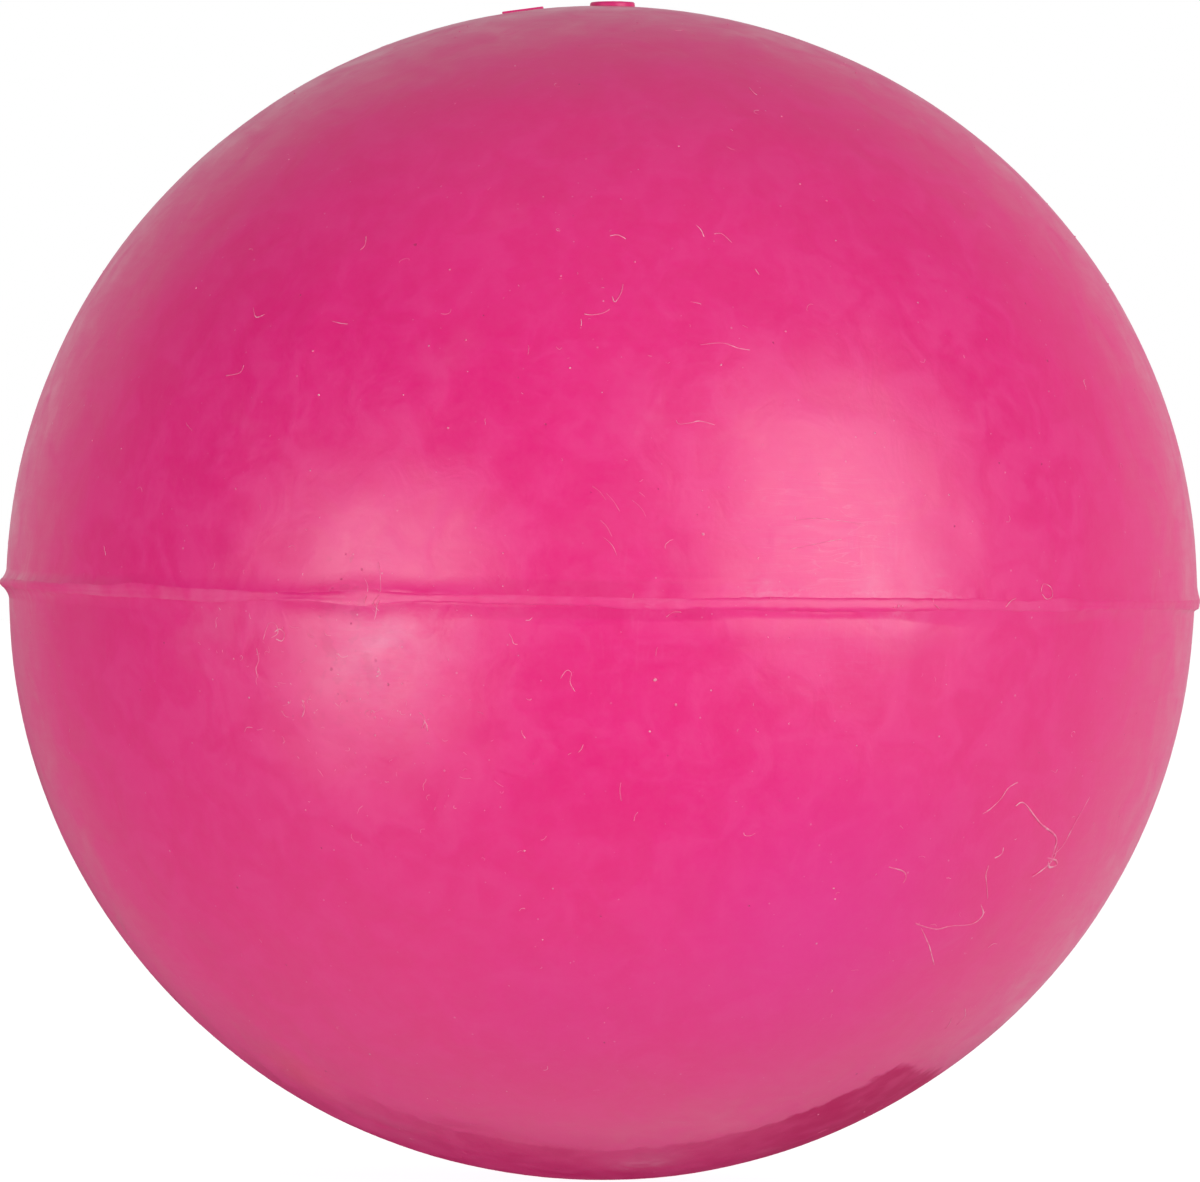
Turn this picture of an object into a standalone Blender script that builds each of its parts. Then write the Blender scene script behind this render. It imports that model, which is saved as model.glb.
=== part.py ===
"""Hollow rubber ball: two moulded cups, the cement ring that joins them and the plug that closes the air hole.

All sizes are in metres. The origin is the ball's centre, Z = 0 is the parting plane and +Z is the mould axis.
"""

import math

import bmesh
import bpy
from mathutils import Vector

# Ball body. The upper cup's rim sets the diameter; the lower cup came out of a slightly smaller mould half.
BALL_DIAMETER = 0.0600
POLE_FLATTENING = 0.0009
MOULD_STEP = 0.00014
WALL_THICKNESS = 0.0040

# Every bonded face keeps this clearance to the face that it is bonded to.
BOND_GAP = 0.0003

# Rims: the outer edge flares out to the flash, and the inner edge is chamfered.
LIP_HEIGHT = 0.0001
LIP_RUN = 0.0006
INNER_CHAMFER = 0.0005

# Cement ring between the rims. It squeezes out as a thin flash outside, and as a bead inside that fills
# the groove between the two chamfers.
WEB_THICKNESS = 0.00045
FLASH_HEIGHT = 0.00025
FLASH_ROUNDING = 0.00012
FLASH_SHIFT = 0.00008
INNER_BEAD_HEIGHT = 0.0007
INNER_BEAD_RISE = 0.0006

# Air plug at the upper pole, and the boss inside the cup that carries it.
PLUG_TIP_RADIUS = 0.00115
PLUG_TIP_HEIGHT = 0.00025
PLUG_TIP_EDGE = 0.00012
PLUG_ROOT_RADIUS = 0.0020
PLUG_HEAD_RADIUS = 0.0040
PLUG_HEAD_THICKNESS = 0.0015
PLUG_HEAD_EDGE = 0.0004
BOSS_RADIUS = 0.0060
BOSS_FLANK = 0.0012
BOSS_THICKNESS = 0.0015

# Raised bar moulded beside the plug.
MARK_DISTANCE = 0.0045
MARK_LENGTH = 0.0021
MARK_WIDTH = 0.0009
MARK_HEIGHT = 0.00012
MARK_EDGE = 0.00006
MARK_DEPTH = 0.0010

# Fineness of the round surfaces.
BALL_SEGMENTS = 64
PLUG_SEGMENTS = 32
OUTER_STEPS = 20
INNER_STEPS = 11
LIP_STEPS = 4
BEAD_STEPS = 6
MARK_EDGE_SEGMENTS = 2
WELD_DISTANCE = 1e-7
SHARP_ANGLE = math.radians(32)

# Worked out from the sizes above.
UPPER_RIM_RADIUS = BALL_DIAMETER / 2
LOWER_RIM_RADIUS = UPPER_RIM_RADIUS - MOULD_STEP
POLE_HEIGHT = (BALL_DIAMETER - POLE_FLATTENING) / 2
INNER_POLE_HEIGHT = POLE_HEIGHT - WALL_THICKNESS
RIM_FACE_HEIGHT = WEB_THICKNESS / 2 + BOND_GAP
BOSS_FACE_HEIGHT = INNER_POLE_HEIGHT - BOSS_THICKNESS


def clear_scene():
    """Removes every object that the file opened with."""
    for thing in list(bpy.data.objects):
        bpy.data.objects.remove(thing)


def rubber(name, colour, roughness):
    """A plain rubber material of one linear colour."""
    material = bpy.data.materials.new(name)
    material.use_nodes = True
    shader = material.node_tree.nodes["Principled BSDF"]
    shader.inputs["Base Color"].default_value = (*colour, 1.0)
    shader.inputs["Roughness"].default_value = roughness
    shader.inputs["Metallic"].default_value = 0.0
    return material


def oval_radius(rim_radius, pole_height, height):
    """Radius of the flattened ball at a height above the parting plane."""
    return rim_radius * math.sqrt(1 - (height / pole_height) ** 2)


def oval_height(rim_radius, pole_height, radius):
    """Height of the flattened ball above the parting plane at a radius."""
    return pole_height * math.sqrt(1 - (radius / rim_radius) ** 2)


def oval_arc(rim_radius, pole_height, low, high, steps):
    """Outline points up the flattened ball, between the heights low and high."""
    start = math.asin(low / pole_height)
    turn = math.asin(min(high / pole_height, 1.0)) - start
    angles = [start + turn * step / steps for step in range(steps + 1)]
    return [(rim_radius * math.cos(angle), pole_height * math.sin(angle)) for angle in angles]


def revolve(outline, segments, closed):
    """A bmesh of the outline, as (radius, height) points, turned a full turn about Z."""
    mesh = bmesh.new()
    points = [mesh.verts.new((radius, 0.0, height)) for radius, height in outline]
    pairs = list(zip(points, points[1:]))
    if closed:
        pairs.append((points[-1], points[0]))
    edges = [mesh.edges.new(pair) for pair in pairs]
    bmesh.ops.spin(
        mesh,
        geom=points + edges,
        cent=(0, 0, 0),
        axis=(0, 0, 1),
        angle=math.tau,
        steps=segments,
        use_merge=True,
    )
    bmesh.ops.remove_doubles(mesh, verts=mesh.verts, dist=WELD_DISTANCE)
    bmesh.ops.recalc_face_normals(mesh, faces=mesh.faces)
    return mesh


def finish_piece(name, mesh, material, parent):
    """Makes the named, smooth-shaded object of a bmesh."""
    data = bpy.data.meshes.new(name)
    mesh.to_mesh(data)
    mesh.free()
    data.materials.append(material)
    data.shade_smooth()
    data.set_sharp_from_angle(angle=SHARP_ANGLE)
    piece = bpy.data.objects.new(name, data)
    bpy.context.scene.collection.objects.link(piece)
    piece.parent = parent
    return piece


def rim_lip(rim_radius):
    """The outer edge of a rim, which flares out in a hollow curve from the ball to the flash."""
    points = []
    for step in range(LIP_STEPS):
        share = step / LIP_STEPS
        height = RIM_FACE_HEIGHT + LIP_RUN * share
        flare = LIP_HEIGHT * (1 - share) ** 2
        points.append((oval_radius(rim_radius, POLE_HEIGHT, height) + flare, height))
    return points


def cup_outer(rim_radius, top):
    """The outer skin of a cup, from the rim up to the height top."""
    body = oval_arc(rim_radius, POLE_HEIGHT, RIM_FACE_HEIGHT + LIP_RUN, top, OUTER_STEPS)
    return rim_lip(rim_radius) + body


def cup_inner(rim_radius, top):
    """The inner skin of a cup, from the height top down to the rim face."""
    inner_radius = rim_radius - WALL_THICKNESS
    chamfer_top = RIM_FACE_HEIGHT + INNER_CHAMFER
    body = oval_arc(inner_radius, INNER_POLE_HEIGHT, chamfer_top, top, INNER_STEPS)
    rim_edge = (inner_radius + INNER_CHAMFER, RIM_FACE_HEIGHT)
    return body[::-1] + [rim_edge]


def make_lower_cup(material, parent):
    """The plain cup, modelled rim down and turned over about X."""
    outer = cup_outer(LOWER_RIM_RADIUS, POLE_HEIGHT)
    inner = cup_inner(LOWER_RIM_RADIUS, INNER_POLE_HEIGHT)
    outer[-1] = (0.0, POLE_HEIGHT)
    inner[0] = (0.0, INNER_POLE_HEIGHT)
    outline = inner + outer
    cup = finish_piece("lower_cup", revolve(outline, BALL_SEGMENTS, False), material, parent)
    cup.rotation_euler.x = math.pi
    return cup


def plug_seat():
    """The plug's tapered hole and the boss round its inner end, from the outer skin to the inner skin."""
    boss_edge = BOSS_RADIUS + BOSS_FLANK
    inner_radius = UPPER_RIM_RADIUS - WALL_THICKNESS
    boss_foot = oval_height(inner_radius, INNER_POLE_HEIGHT, boss_edge)
    hole_edge = PLUG_TIP_RADIUS + BOND_GAP
    return [
        (hole_edge, oval_height(UPPER_RIM_RADIUS, POLE_HEIGHT, hole_edge)),
        (PLUG_ROOT_RADIUS + BOND_GAP, BOSS_FACE_HEIGHT),
        (BOSS_RADIUS, BOSS_FACE_HEIGHT),
        (boss_edge, boss_foot),
    ]


def make_raised_bar(parent):
    """The raised bar's guide solid, lying on the slope of the ball with its foot sunk in the wall."""
    bar_mesh = bmesh.new()
    bmesh.ops.create_cube(bar_mesh, size=1.0)
    size = Vector((MARK_LENGTH, MARK_WIDTH, MARK_HEIGHT + MARK_DEPTH))
    bmesh.ops.scale(bar_mesh, vec=size, verts=bar_mesh.verts)
    bmesh.ops.translate(bar_mesh, vec=(0, 0, MARK_HEIGHT - size.z / 2), verts=bar_mesh.verts)
    top_edges = [edge for edge in bar_mesh.edges if max(v.co.z for v in edge.verts) > 0]
    bmesh.ops.bevel(
        bar_mesh,
        geom=top_edges,
        offset=MARK_EDGE,
        segments=MARK_EDGE_SEGMENTS,
        affect="EDGES",
    )
    data = bpy.data.meshes.new("raised_bar_helper")
    bar_mesh.to_mesh(data)
    bar_mesh.free()
    bar = bpy.data.objects.new("raised_bar_helper", data)
    bpy.context.scene.collection.objects.link(bar)
    height = oval_height(UPPER_RIM_RADIUS, POLE_HEIGHT, MARK_DISTANCE)
    slope = math.atan2(MARK_DISTANCE * POLE_HEIGHT**2, height * UPPER_RIM_RADIUS**2)
    bar.parent = parent
    bar.location = (-MARK_DISTANCE, 0, height)
    bar.rotation_euler.y = -slope
    bar.hide_render = True
    bar.display_type = "WIRE"
    return bar


def make_upper_cup(material, parent):
    """The cup with the plug's seat at its pole and the raised bar beside it."""
    seat = plug_seat()
    outer = cup_outer(UPPER_RIM_RADIUS, seat[0][1])
    inner = cup_inner(UPPER_RIM_RADIUS, seat[-1][1])
    outline = outer[:-1] + seat + inner[1:]
    cup = finish_piece("upper_cup", revolve(outline, BALL_SEGMENTS, True), material, parent)
    union = cup.modifiers.new("raised_bar", "BOOLEAN")
    union.operation = "UNION"
    union.object = make_raised_bar(parent)
    return cup


def flash_crest():
    """The rounded outer edge of the cement ring, from its lower face to its upper face."""
    half = WEB_THICKNESS / 2
    crest = UPPER_RIM_RADIUS + FLASH_HEIGHT
    points = []
    for step in range(BEAD_STEPS + 1):
        angle = math.pi * (step / BEAD_STEPS - 0.5)
        radius = crest - FLASH_ROUNDING * (1 - math.cos(angle))
        points.append((radius, half * math.sin(angle)))
    return points


def inner_bead():
    """The bead of cement inside the ball, from the ring's upper face round to its lower face.

    Its flanks run along the 45 degree chamfers of the rims, one clearance away.
    """
    half = WEB_THICKNESS / 2
    chamfer_start = LOWER_RIM_RADIUS - WALL_THICKNESS + INNER_CHAMFER
    root = chamfer_start - BOND_GAP * math.tan(math.radians(22.5))
    shoulder = root - INNER_BEAD_RISE
    points = [(root, half)]
    for step in range(BEAD_STEPS + 1):
        angle = math.pi * (0.5 - step / BEAD_STEPS)
        radius = shoulder - INNER_BEAD_HEIGHT * math.cos(angle)
        points.append((radius, (half + INNER_BEAD_RISE) * math.sin(angle)))
    return points + [(root, -half)]


def make_seam_ring(material, parent):
    """The cement ring between the rims. Its flash stands out further on the -X side."""
    ring_mesh = revolve(flash_crest() + inner_bead(), BALL_SEGMENTS, True)
    for vertex in ring_mesh.verts:
        beyond_rim = vertex.co.xy.length - UPPER_RIM_RADIUS
        vertex.co.x -= FLASH_SHIFT * max(0.0, beyond_rim / FLASH_HEIGHT)
    return finish_piece("seam_ring", ring_mesh, material, parent)


def make_air_plug(material, parent):
    """The mushroom plug: head inside the boss, tapered stem, and tip trimmed just proud of the ball."""
    head_top = BOSS_FACE_HEIGHT - BOND_GAP - POLE_HEIGHT
    head_bottom = head_top - PLUG_HEAD_THICKNESS
    outline = [
        (0.0, PLUG_TIP_HEIGHT),
        (PLUG_TIP_RADIUS - PLUG_TIP_EDGE, PLUG_TIP_HEIGHT),
        (PLUG_TIP_RADIUS, PLUG_TIP_HEIGHT - PLUG_TIP_EDGE),
        (PLUG_TIP_RADIUS, 0.0),
        (PLUG_ROOT_RADIUS, head_top + BOND_GAP),
        (PLUG_ROOT_RADIUS, head_top),
        (PLUG_HEAD_RADIUS - PLUG_HEAD_EDGE, head_top),
        (PLUG_HEAD_RADIUS, head_top - PLUG_HEAD_EDGE),
        (PLUG_HEAD_RADIUS, head_bottom + PLUG_HEAD_EDGE),
        (PLUG_HEAD_RADIUS - PLUG_HEAD_EDGE, head_bottom),
        (0.0, head_bottom),
    ]
    plug = finish_piece("air_plug", revolve(outline, PLUG_SEGMENTS, False), material, parent)
    plug.location.z = POLE_HEIGHT
    return plug


def main():
    """Builds the ball."""
    clear_scene()
    ball = bpy.data.objects.new("ball", None)
    bpy.context.scene.collection.objects.link(ball)
    cup_rubber = rubber("cup_rubber", (0.80, 0.035, 0.22), 0.45)
    seam_rubber = rubber("seam_rubber", (0.82, 0.05, 0.25), 0.40)
    plug_rubber = rubber("plug_rubber", (0.76, 0.035, 0.20), 0.50)
    make_upper_cup(cup_rubber, ball)
    make_lower_cup(cup_rubber, ball)
    make_seam_ring(seam_rubber, ball)
    make_air_plug(plug_rubber, ball)


main()
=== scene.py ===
"""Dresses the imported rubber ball: its two cups, the raised seam, the air plug and the clinging lint."""

import bisect
import logging
import math
import random
from collections.abc import Mapping, Sequence
from dataclasses import dataclass, field
from enum import Enum, auto
from functools import cached_property, lru_cache
from typing import Any

import bmesh
import bpy
import numpy as np
from mathutils import Matrix, Vector, noise


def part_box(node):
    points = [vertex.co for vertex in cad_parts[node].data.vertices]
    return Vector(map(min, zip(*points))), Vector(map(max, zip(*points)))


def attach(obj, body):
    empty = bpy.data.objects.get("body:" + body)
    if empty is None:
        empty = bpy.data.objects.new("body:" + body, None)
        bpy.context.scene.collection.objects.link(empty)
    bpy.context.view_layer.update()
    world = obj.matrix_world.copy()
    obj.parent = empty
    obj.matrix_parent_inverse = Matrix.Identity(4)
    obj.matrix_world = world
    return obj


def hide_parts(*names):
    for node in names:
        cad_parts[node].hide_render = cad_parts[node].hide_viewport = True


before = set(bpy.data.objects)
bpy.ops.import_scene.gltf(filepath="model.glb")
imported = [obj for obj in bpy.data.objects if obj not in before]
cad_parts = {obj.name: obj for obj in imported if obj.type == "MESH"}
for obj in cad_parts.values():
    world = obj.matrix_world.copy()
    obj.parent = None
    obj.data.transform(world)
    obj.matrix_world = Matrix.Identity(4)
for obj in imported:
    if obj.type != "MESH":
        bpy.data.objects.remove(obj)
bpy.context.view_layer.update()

LOG = logging.getLogger("rubber_ball")
MM = 0.001

Rgb = tuple[float, float, float]
Pixel = tuple[float, float]
Band = tuple[float, float]
Socket = bpy.types.NodeSocket


class Side(Enum):
    """The two halves of the mould."""

    UPPER = 1
    LOWER = -1


# Shader maths


class Wire:
    """A number that flows between shader nodes and can be used in Python arithmetic."""

    def __init__(self, bench: "Bench", socket: Socket) -> None:
        """Wraps an output socket of the bench's node tree."""
        self.bench = bench
        self.socket = socket

    def _math(self, operation: str, *values: "Wire | float") -> "Wire":
        """Adds one Math node and gives its result."""
        return self.bench.number("ShaderNodeMath", {"operation": operation}, dict(enumerate(values)))

    def __add__(self, other: "Wire | float") -> "Wire":
        """self + other."""
        return self._math("ADD", self, other)

    def __radd__(self, other: float) -> "Wire":
        """other + self."""
        return self._math("ADD", other, self)

    def __sub__(self, other: "Wire | float") -> "Wire":
        """self - other."""
        return self._math("SUBTRACT", self, other)

    def __rsub__(self, other: float) -> "Wire":
        """other - self."""
        return self._math("SUBTRACT", other, self)

    def __mul__(self, other: "Wire | float") -> "Wire":
        """self * other."""
        return self._math("MULTIPLY", self, other)

    def __rmul__(self, other: float) -> "Wire":
        """other * self."""
        return self._math("MULTIPLY", other, self)

    def __abs__(self) -> "Wire":
        """The size of self without its sign."""
        return self._math("ABSOLUTE", self)

    def at_least(self, value: float) -> "Wire":
        """The larger of self and a value."""
        return self._math("MAXIMUM", self, value)

    def rise(self, low: float, high: float) -> "Wire":
        """A smooth step.

        Args:
            low: Where it is 0.
            high: Where it is 1. It may be the smaller of the two.

        Returns:
            The step, from 0 to 1.
        """
        ends = {1: low, 2: high} if low < high else {1: high, 2: low, 3: 1.0, 4: 0.0}
        settings = {"interpolation_type": "SMOOTHSTEP"}
        return self.bench.number("ShaderNodeMapRange", settings, {"Value": self, **ends})


class Bench:
    """A material's or world's node tree, with one way to add any node."""

    def __init__(self, tree: bpy.types.NodeTree) -> None:
        """Clears the tree to build in."""
        self.tree = tree
        tree.nodes.clear()

    def node(self, kind: str, settings: dict[str, Any], inputs: dict[Any, Any]) -> bpy.types.Node:
        """Adds a node.

        Args:
            kind: The node's type.
            settings: Its properties, set before its sockets.
            inputs: Socket name or number, to a value, a Wire or a socket.

        Returns:
            The new node.
        """
        made = self.tree.nodes.new(kind)
        for name, value in settings.items():
            setattr(made, name, value)
        for key, value in inputs.items():
            source = value.socket if isinstance(value, Wire) else value
            if isinstance(source, Socket):
                self.tree.links.new(source, made.inputs[key])
            else:
                made.inputs[key].default_value = source
        return made

    def number(self, kind: str, settings: dict[str, Any], inputs: dict[Any, Any]) -> Wire:
        """Adds a node and wraps its first output."""
        return Wire(self, self.node(kind, settings, inputs).outputs[0])

    def axes(self, place: Socket) -> tuple[Wire, Wire, Wire]:
        """A place's X, Y and Z."""
        parts = self.node("ShaderNodeSeparateXYZ", {}, {0: place})
        return tuple(Wire(self, parts.outputs[axis]) for axis in "XYZ")

    def stretched(self, place: Socket, scale: Vector) -> Socket:
        """The position, scaled by axis."""
        return self.node("ShaderNodeVectorMath", {"operation": "MULTIPLY"}, {0: place, 1: scale}).outputs[0]

    def ruffled(self, place: Socket, scale: float, amount: float) -> Socket:
        """The position, pushed about by noise.

        Args:
            place: The position.
            scale: The noise's features per millimetre.
            amount: The furthest push.

        Returns:
            The new position.
        """
        inputs = {"Vector": place, "Scale": scale, "Detail": 2.0}
        push = self.node("ShaderNodeTexNoise", {}, inputs).outputs["Color"]
        inputs = {0: push, 1: Vector((amount,) * 3), 2: place}
        return self.node("ShaderNodeVectorMath", {"operation": "MULTIPLY_ADD"}, inputs).outputs[0]

    def near(self, place: Socket, centre: Vector, reach: float) -> Wire:
        """1 at the centre, falling smoothly to 0 at the reach."""
        gap = self.node("ShaderNodeVectorMath", {"operation": "DISTANCE"}, {0: place, 1: centre})
        return Wire(self, gap.outputs["Value"]).rise(reach, 0.0)

    def blend(self, share: "Wire | float", under: Any, over: Any) -> Socket:
        """Mixes two colours."""
        return self.node("ShaderNodeMix", {"data_type": "RGBA"}, {0: share, 6: under, 7: over}).outputs[2]

    def mixed(self, share: "Wire | float", under: Socket, over: Socket) -> Socket:
        """Mixes two shaders."""
        return self.node("ShaderNodeMixShader", {}, {0: share, 1: under, 2: over}).outputs[0]


@dataclass(frozen=True)
class Cloud:
    """Soft fractal noise: features per millimetre, octaves, distortion, and a squeeze by axis."""

    scale: float
    detail: float
    warp: float = 0.0
    squeeze: tuple[float, float, float] | None = None

    def on(self, bench: Bench, place: Socket) -> Wire:
        """The noise.

        Args:
            bench: The node tree.
            place: The position that it reads, in millimetres.

        Returns:
            A number from 0 to 1.
        """
        spot = bench.stretched(place, Vector(self.squeeze)) if self.squeeze else place
        inputs = {"Vector": spot, "Scale": self.scale, "Detail": self.detail, "Distortion": self.warp}
        return bench.number("ShaderNodeTexNoise", {}, inputs)


@dataclass(frozen=True)
class Specks:
    """Scattered round specks, with their spacing and largest radius in millimetres."""

    spacing: float
    radius: float
    softness: float = 0.3

    def on(self, bench: Bench, place: Socket) -> Wire:
        """The specks.

        Args:
            bench: The node tree.
            place: The position that they read, in millimetres.

        Returns:
            1 inside a speck and 0 elsewhere.
        """
        largest = self.radius / self.spacing
        voronoi = bench.node("ShaderNodeTexVoronoi", {}, {"Vector": place, "Scale": 1 / self.spacing})
        size = Wire(bench, voronoi.outputs["Color"]) * largest
        return (Wire(bench, voronoi.outputs["Distance"]) - size).rise(0.0, -self.softness * largest)


def rgba(colour: Rgb) -> tuple[float, float, float, float]:
    """An opaque colour."""
    return (*colour, 1.0)


def new_material(name: str) -> tuple[bpy.types.Material, Bench]:
    """Makes an empty material.

    Args:
        name: Its name.

    Returns:
        The material and the bench of its nodes.
    """
    made = bpy.data.materials.new(name)
    made.use_nodes = True
    return made, Bench(made.node_tree)


def place_on_ball(bench: Bench) -> Socket:
    """The shaded place in the ball's own frame, in millimetres."""
    return bench.stretched(bench.node("ShaderNodeTexCoord", {}, {}).outputs["Object"], Vector((1 / MM,) * 3))


# The photograph's view of the ball


@dataclass(frozen=True)
class View:
    """Where the camera stands, and how a place in the 1200 by 1182 picture maps to the ball."""

    distance: float = 0.75
    elevation: float = math.radians(0.63)
    roll: float = math.radians(1.05)
    frame_width: int = 1200
    frame_height: int = 1182
    ball_centre: Pixel = (601.7, 593.0)
    metres_per_pixel: float = 30.0 * MM / 595.5
    sensor_width: float = 36.0

    def axes(self) -> tuple[Vector, Vector, Vector]:
        """The picture's directions.

        Returns:
            Right, up, and from the ball to the camera.
        """
        toward = Vector((0, -math.cos(self.elevation), math.sin(self.elevation)))
        level_right = Vector((1, 0, 0))
        turn = Matrix.Rotation(self.roll, 3, toward)
        return turn @ level_right, turn @ toward.cross(level_right), toward

    def direction(self, pixel: Pixel) -> Vector:
        """The direction from the ball's centre to the smooth surface that shows at a pixel.

        Args:
            pixel: A place in the picture, over the ball.

        Returns:
            A unit vector.
        """
        right, up, toward = self.axes()
        across = (pixel[0] - self.ball_centre[0]) * self.metres_per_pixel
        above = (self.ball_centre[1] - pixel[1]) * self.metres_per_pixel
        flatten = Vector((1 / FORM.upper_rim, 1 / FORM.upper_rim, 1 / FORM.pole))
        eye = toward * self.distance
        ray = right * across + up * above - eye
        eye_flat = eye * flatten
        ray_flat = ray * flatten
        square = ray_flat.dot(ray_flat)
        half = eye_flat.dot(ray_flat)
        depth = half * half - square * (eye_flat.dot(eye_flat) - 1)
        return (eye + ray * ((-half - math.sqrt(max(depth, 0.0))) / square)).normalized()

    def seam_angle(self, column: float) -> float:
        """The seam's place round the ball at a pixel column.

        Args:
            column: The pixel column.

        Returns:
            Degrees: 180 at the left, 270 in front, 360 at the right.
        """
        share = (column - self.ball_centre[0]) * self.metres_per_pixel / FORM.rim(Side.UPPER)
        return 180 + math.degrees(math.acos(max(-1.0, min(1.0, -share))))

    def place_camera(self) -> None:
        """Makes the camera, aimed so that the ball's centre falls on its own pixel."""
        right, up, toward = self.axes()
        offset_x = (self.frame_width / 2 - self.ball_centre[0]) * self.metres_per_pixel
        offset_y = (self.ball_centre[1] - self.frame_height / 2) * self.metres_per_pixel
        data = bpy.data.cameras.new("camera")
        data.sensor_width = self.sensor_width
        data.lens = self.sensor_width * self.distance / (self.frame_width * self.metres_per_pixel)
        camera = add_object("camera", data)
        basis = Matrix((right, up, toward)).transposed().to_4x4()
        aim = right * offset_x + up * offset_y
        camera.matrix_world = Matrix.Translation(aim + toward * self.distance) @ basis
        bpy.context.scene.camera = camera


# The ball's form


@dataclass(frozen=True)
class BallForm:
    """The ball's outer form, in metres. A swing is a height, its features and its place in the noise."""

    upper_rim: float = 30.0 * MM
    lower_rim: float = 29.85 * MM
    pole: float = -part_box("lower_cup")[0].z
    wall: float = 4.0 * MM
    swings: tuple[tuple[float, float, tuple[float, float, float]], ...] = (
        (0.045 * MM, 2.6, (4.1, 7.7, 1.3)),
        (0.012 * MM, 9.0, (8.2, 2.4, 5.9)),
    )

    def rim(self, side: Side) -> float:
        """The radius of a half at the parting plane."""
        return self.upper_rim if side is Side.UPPER else self.lower_rim

    def radius_at(self, side: Side, height: float) -> float:
        """The radius of the smooth form at a height above or below the parting plane."""
        return self.rim(side) * math.sqrt(max(0.0, 1 - (height / self.pole) ** 2))

    def unevenness(self, direction: Vector) -> float:
        """How far the cured skin stands out from the smooth form in a direction."""
        return sum(
            swing * noise.noise(direction * scale + Vector(seed)) for swing, scale, seed in self.swings
        )

    def surface(self, direction: Vector) -> Vector:
        """The point of the uneven skin in a direction from the centre."""
        flat = direction.xy.length / self.rim(side_of(direction.z))
        return direction * (1 / math.hypot(flat, direction.z / self.pole) + self.unevenness(direction))

    def outward(self, direction: Vector) -> Vector:
        """The smooth form's normal in a direction."""
        square = self.rim(side_of(direction.z)) ** 2
        return Vector((direction.x / square, direction.y / square, direction.z / self.pole**2)).normalized()


def side_of(height: float) -> Side:
    """The half that a height is in."""
    return Side.UPPER if height >= 0 else Side.LOWER


FORM = BallForm()
VIEW = View()


def wander(angle: float, pace: float, seed: float) -> float:
    """Smooth noise that closes round the ball.

    Args:
        angle: Degrees round the ball.
        pace: About how many changes it makes in a turn.
        seed: Its place in the noise.

    Returns:
        A number from -1 to 1.
    """
    turn = math.radians(angle)
    spread = pace / math.tau
    return noise.noise(Vector((spread * math.cos(turn), spread * math.sin(turn), seed)))


def through(places: Sequence[Pixel], spot: float) -> float:
    """A smooth curve through values at places.

    Args:
        places: At least four (place, value), in order.
        spot: A place between the second and the last but one, or in the plain stretches beside them.

    Returns:
        The value there.
    """
    after = min(max(bisect.bisect([place for place, _ in places], spot), 1), len(places) - 1)
    (start, low), (end, high) = places[after - 1], places[after]
    before_start, before_low = places[max(after - 2, 0)]
    after_end, after_high = places[min(after + 1, len(places) - 1)]
    span = end - start
    pull_low = (high - before_low) / (end - before_start) * span
    pull_high = (after_high - low) / (after_end - start) * span
    t = (spot - start) / span
    return (
        low * (1 + 2 * t) * (1 - t) ** 2
        + pull_low * t * (1 - t) ** 2
        + high * t * t * (3 - 2 * t)
        - pull_high * t * t * (1 - t)
    )


def between(a: float, b: float, c: float, d: float, t: float) -> float:
    """A smooth curve through even steps.

    Args:
        a: The value a step before b.
        b: The value where t is 0.
        c: The value where t is 1.
        d: The value a step after c.
        t: The share of the way from b to c.

    Returns:
        The value there.
    """
    bend = (2 * a - 5 * b + 4 * c - d) * t**2
    twist = (3 * b - a - 3 * c + d) * t**3
    return 0.5 * (2 * b + (c - a) * t + bend + twist)


@dataclass(frozen=True)
class Course:
    """A size along the seam: set at pixel columns in front, plain behind, with a wander and a ripple."""

    base: float
    stations: tuple[Pixel, ...] = ()
    wander: float = 0.0
    pace: float = 34.0
    seed: float = 0.0
    ripple: float = 0.0
    ripple_pace: float = 400.0
    ripple_seed: float = 50.0
    unit: float = MM
    plain_ends: tuple[float, float, float, float] = (90.0, 145.0, 395.0, 450.0)
    first_angle: float = 95.0

    @cached_property
    def places(self) -> list[Pixel]:
        """The stations as angles and values, and the plain value behind the ball."""
        front = [(VIEW.seam_angle(column), value) for column, value in self.stations]
        plain = [(angle, self.base) for angle in self.plain_ends]
        return [*plain[:2], *front, *plain[2:]]

    def at(self, angle: float) -> float:
        """The size at an angle.

        Args:
            angle: Degrees round the ball.

        Returns:
            The size, in metres where the unit is a millimetre.
        """
        turned = angle % 360
        broad = self.wander * wander(turned, self.pace, self.seed)
        fine = self.ripple * wander(turned, self.ripple_pace, self.seed + self.ripple_seed)
        spot = turned if turned > self.first_angle else turned + 360
        return self.unit * (through(self.places, spot) + broad + fine)


@dataclass(frozen=True)
class Flank:
    """How a cup's skin flares out to the ridge at one place round the ball, in metres."""

    rise: float
    run: float
    hollow: float
    ledge: float
    groove: float
    ledge_gap: float
    ledge_width: float

    @property
    def full_rise(self) -> float:
        """How far the cup's edge stands out."""
        return self.rise + self.ledge

    def height(self, gap: float) -> float:
        """How far the skin stands out.

        Args:
            gap: How far up or down the place is from the crest's edge.

        Returns:
            The height over the ball's own skin.
        """
        share = min(1.0, max(0.0, gap / self.run))
        step = min(1.0, max(0.0, 0.5 + (self.ledge_gap - gap) / self.ledge_width))
        return self.rise * (1 - share) ** self.hollow + self.ledge * step * step * (3 - 2 * step)


@dataclass(frozen=True)
class Section:
    """The ridge at one place round the ball."""

    centre: float
    half: float
    crest: float
    corner: float
    furrow: float
    upper: Flank
    lower: Flank

    def flank(self, side: Side) -> Flank:
        """The flare above or below the ridge."""
        return self.upper if side is Side.UPPER else self.lower


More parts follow.
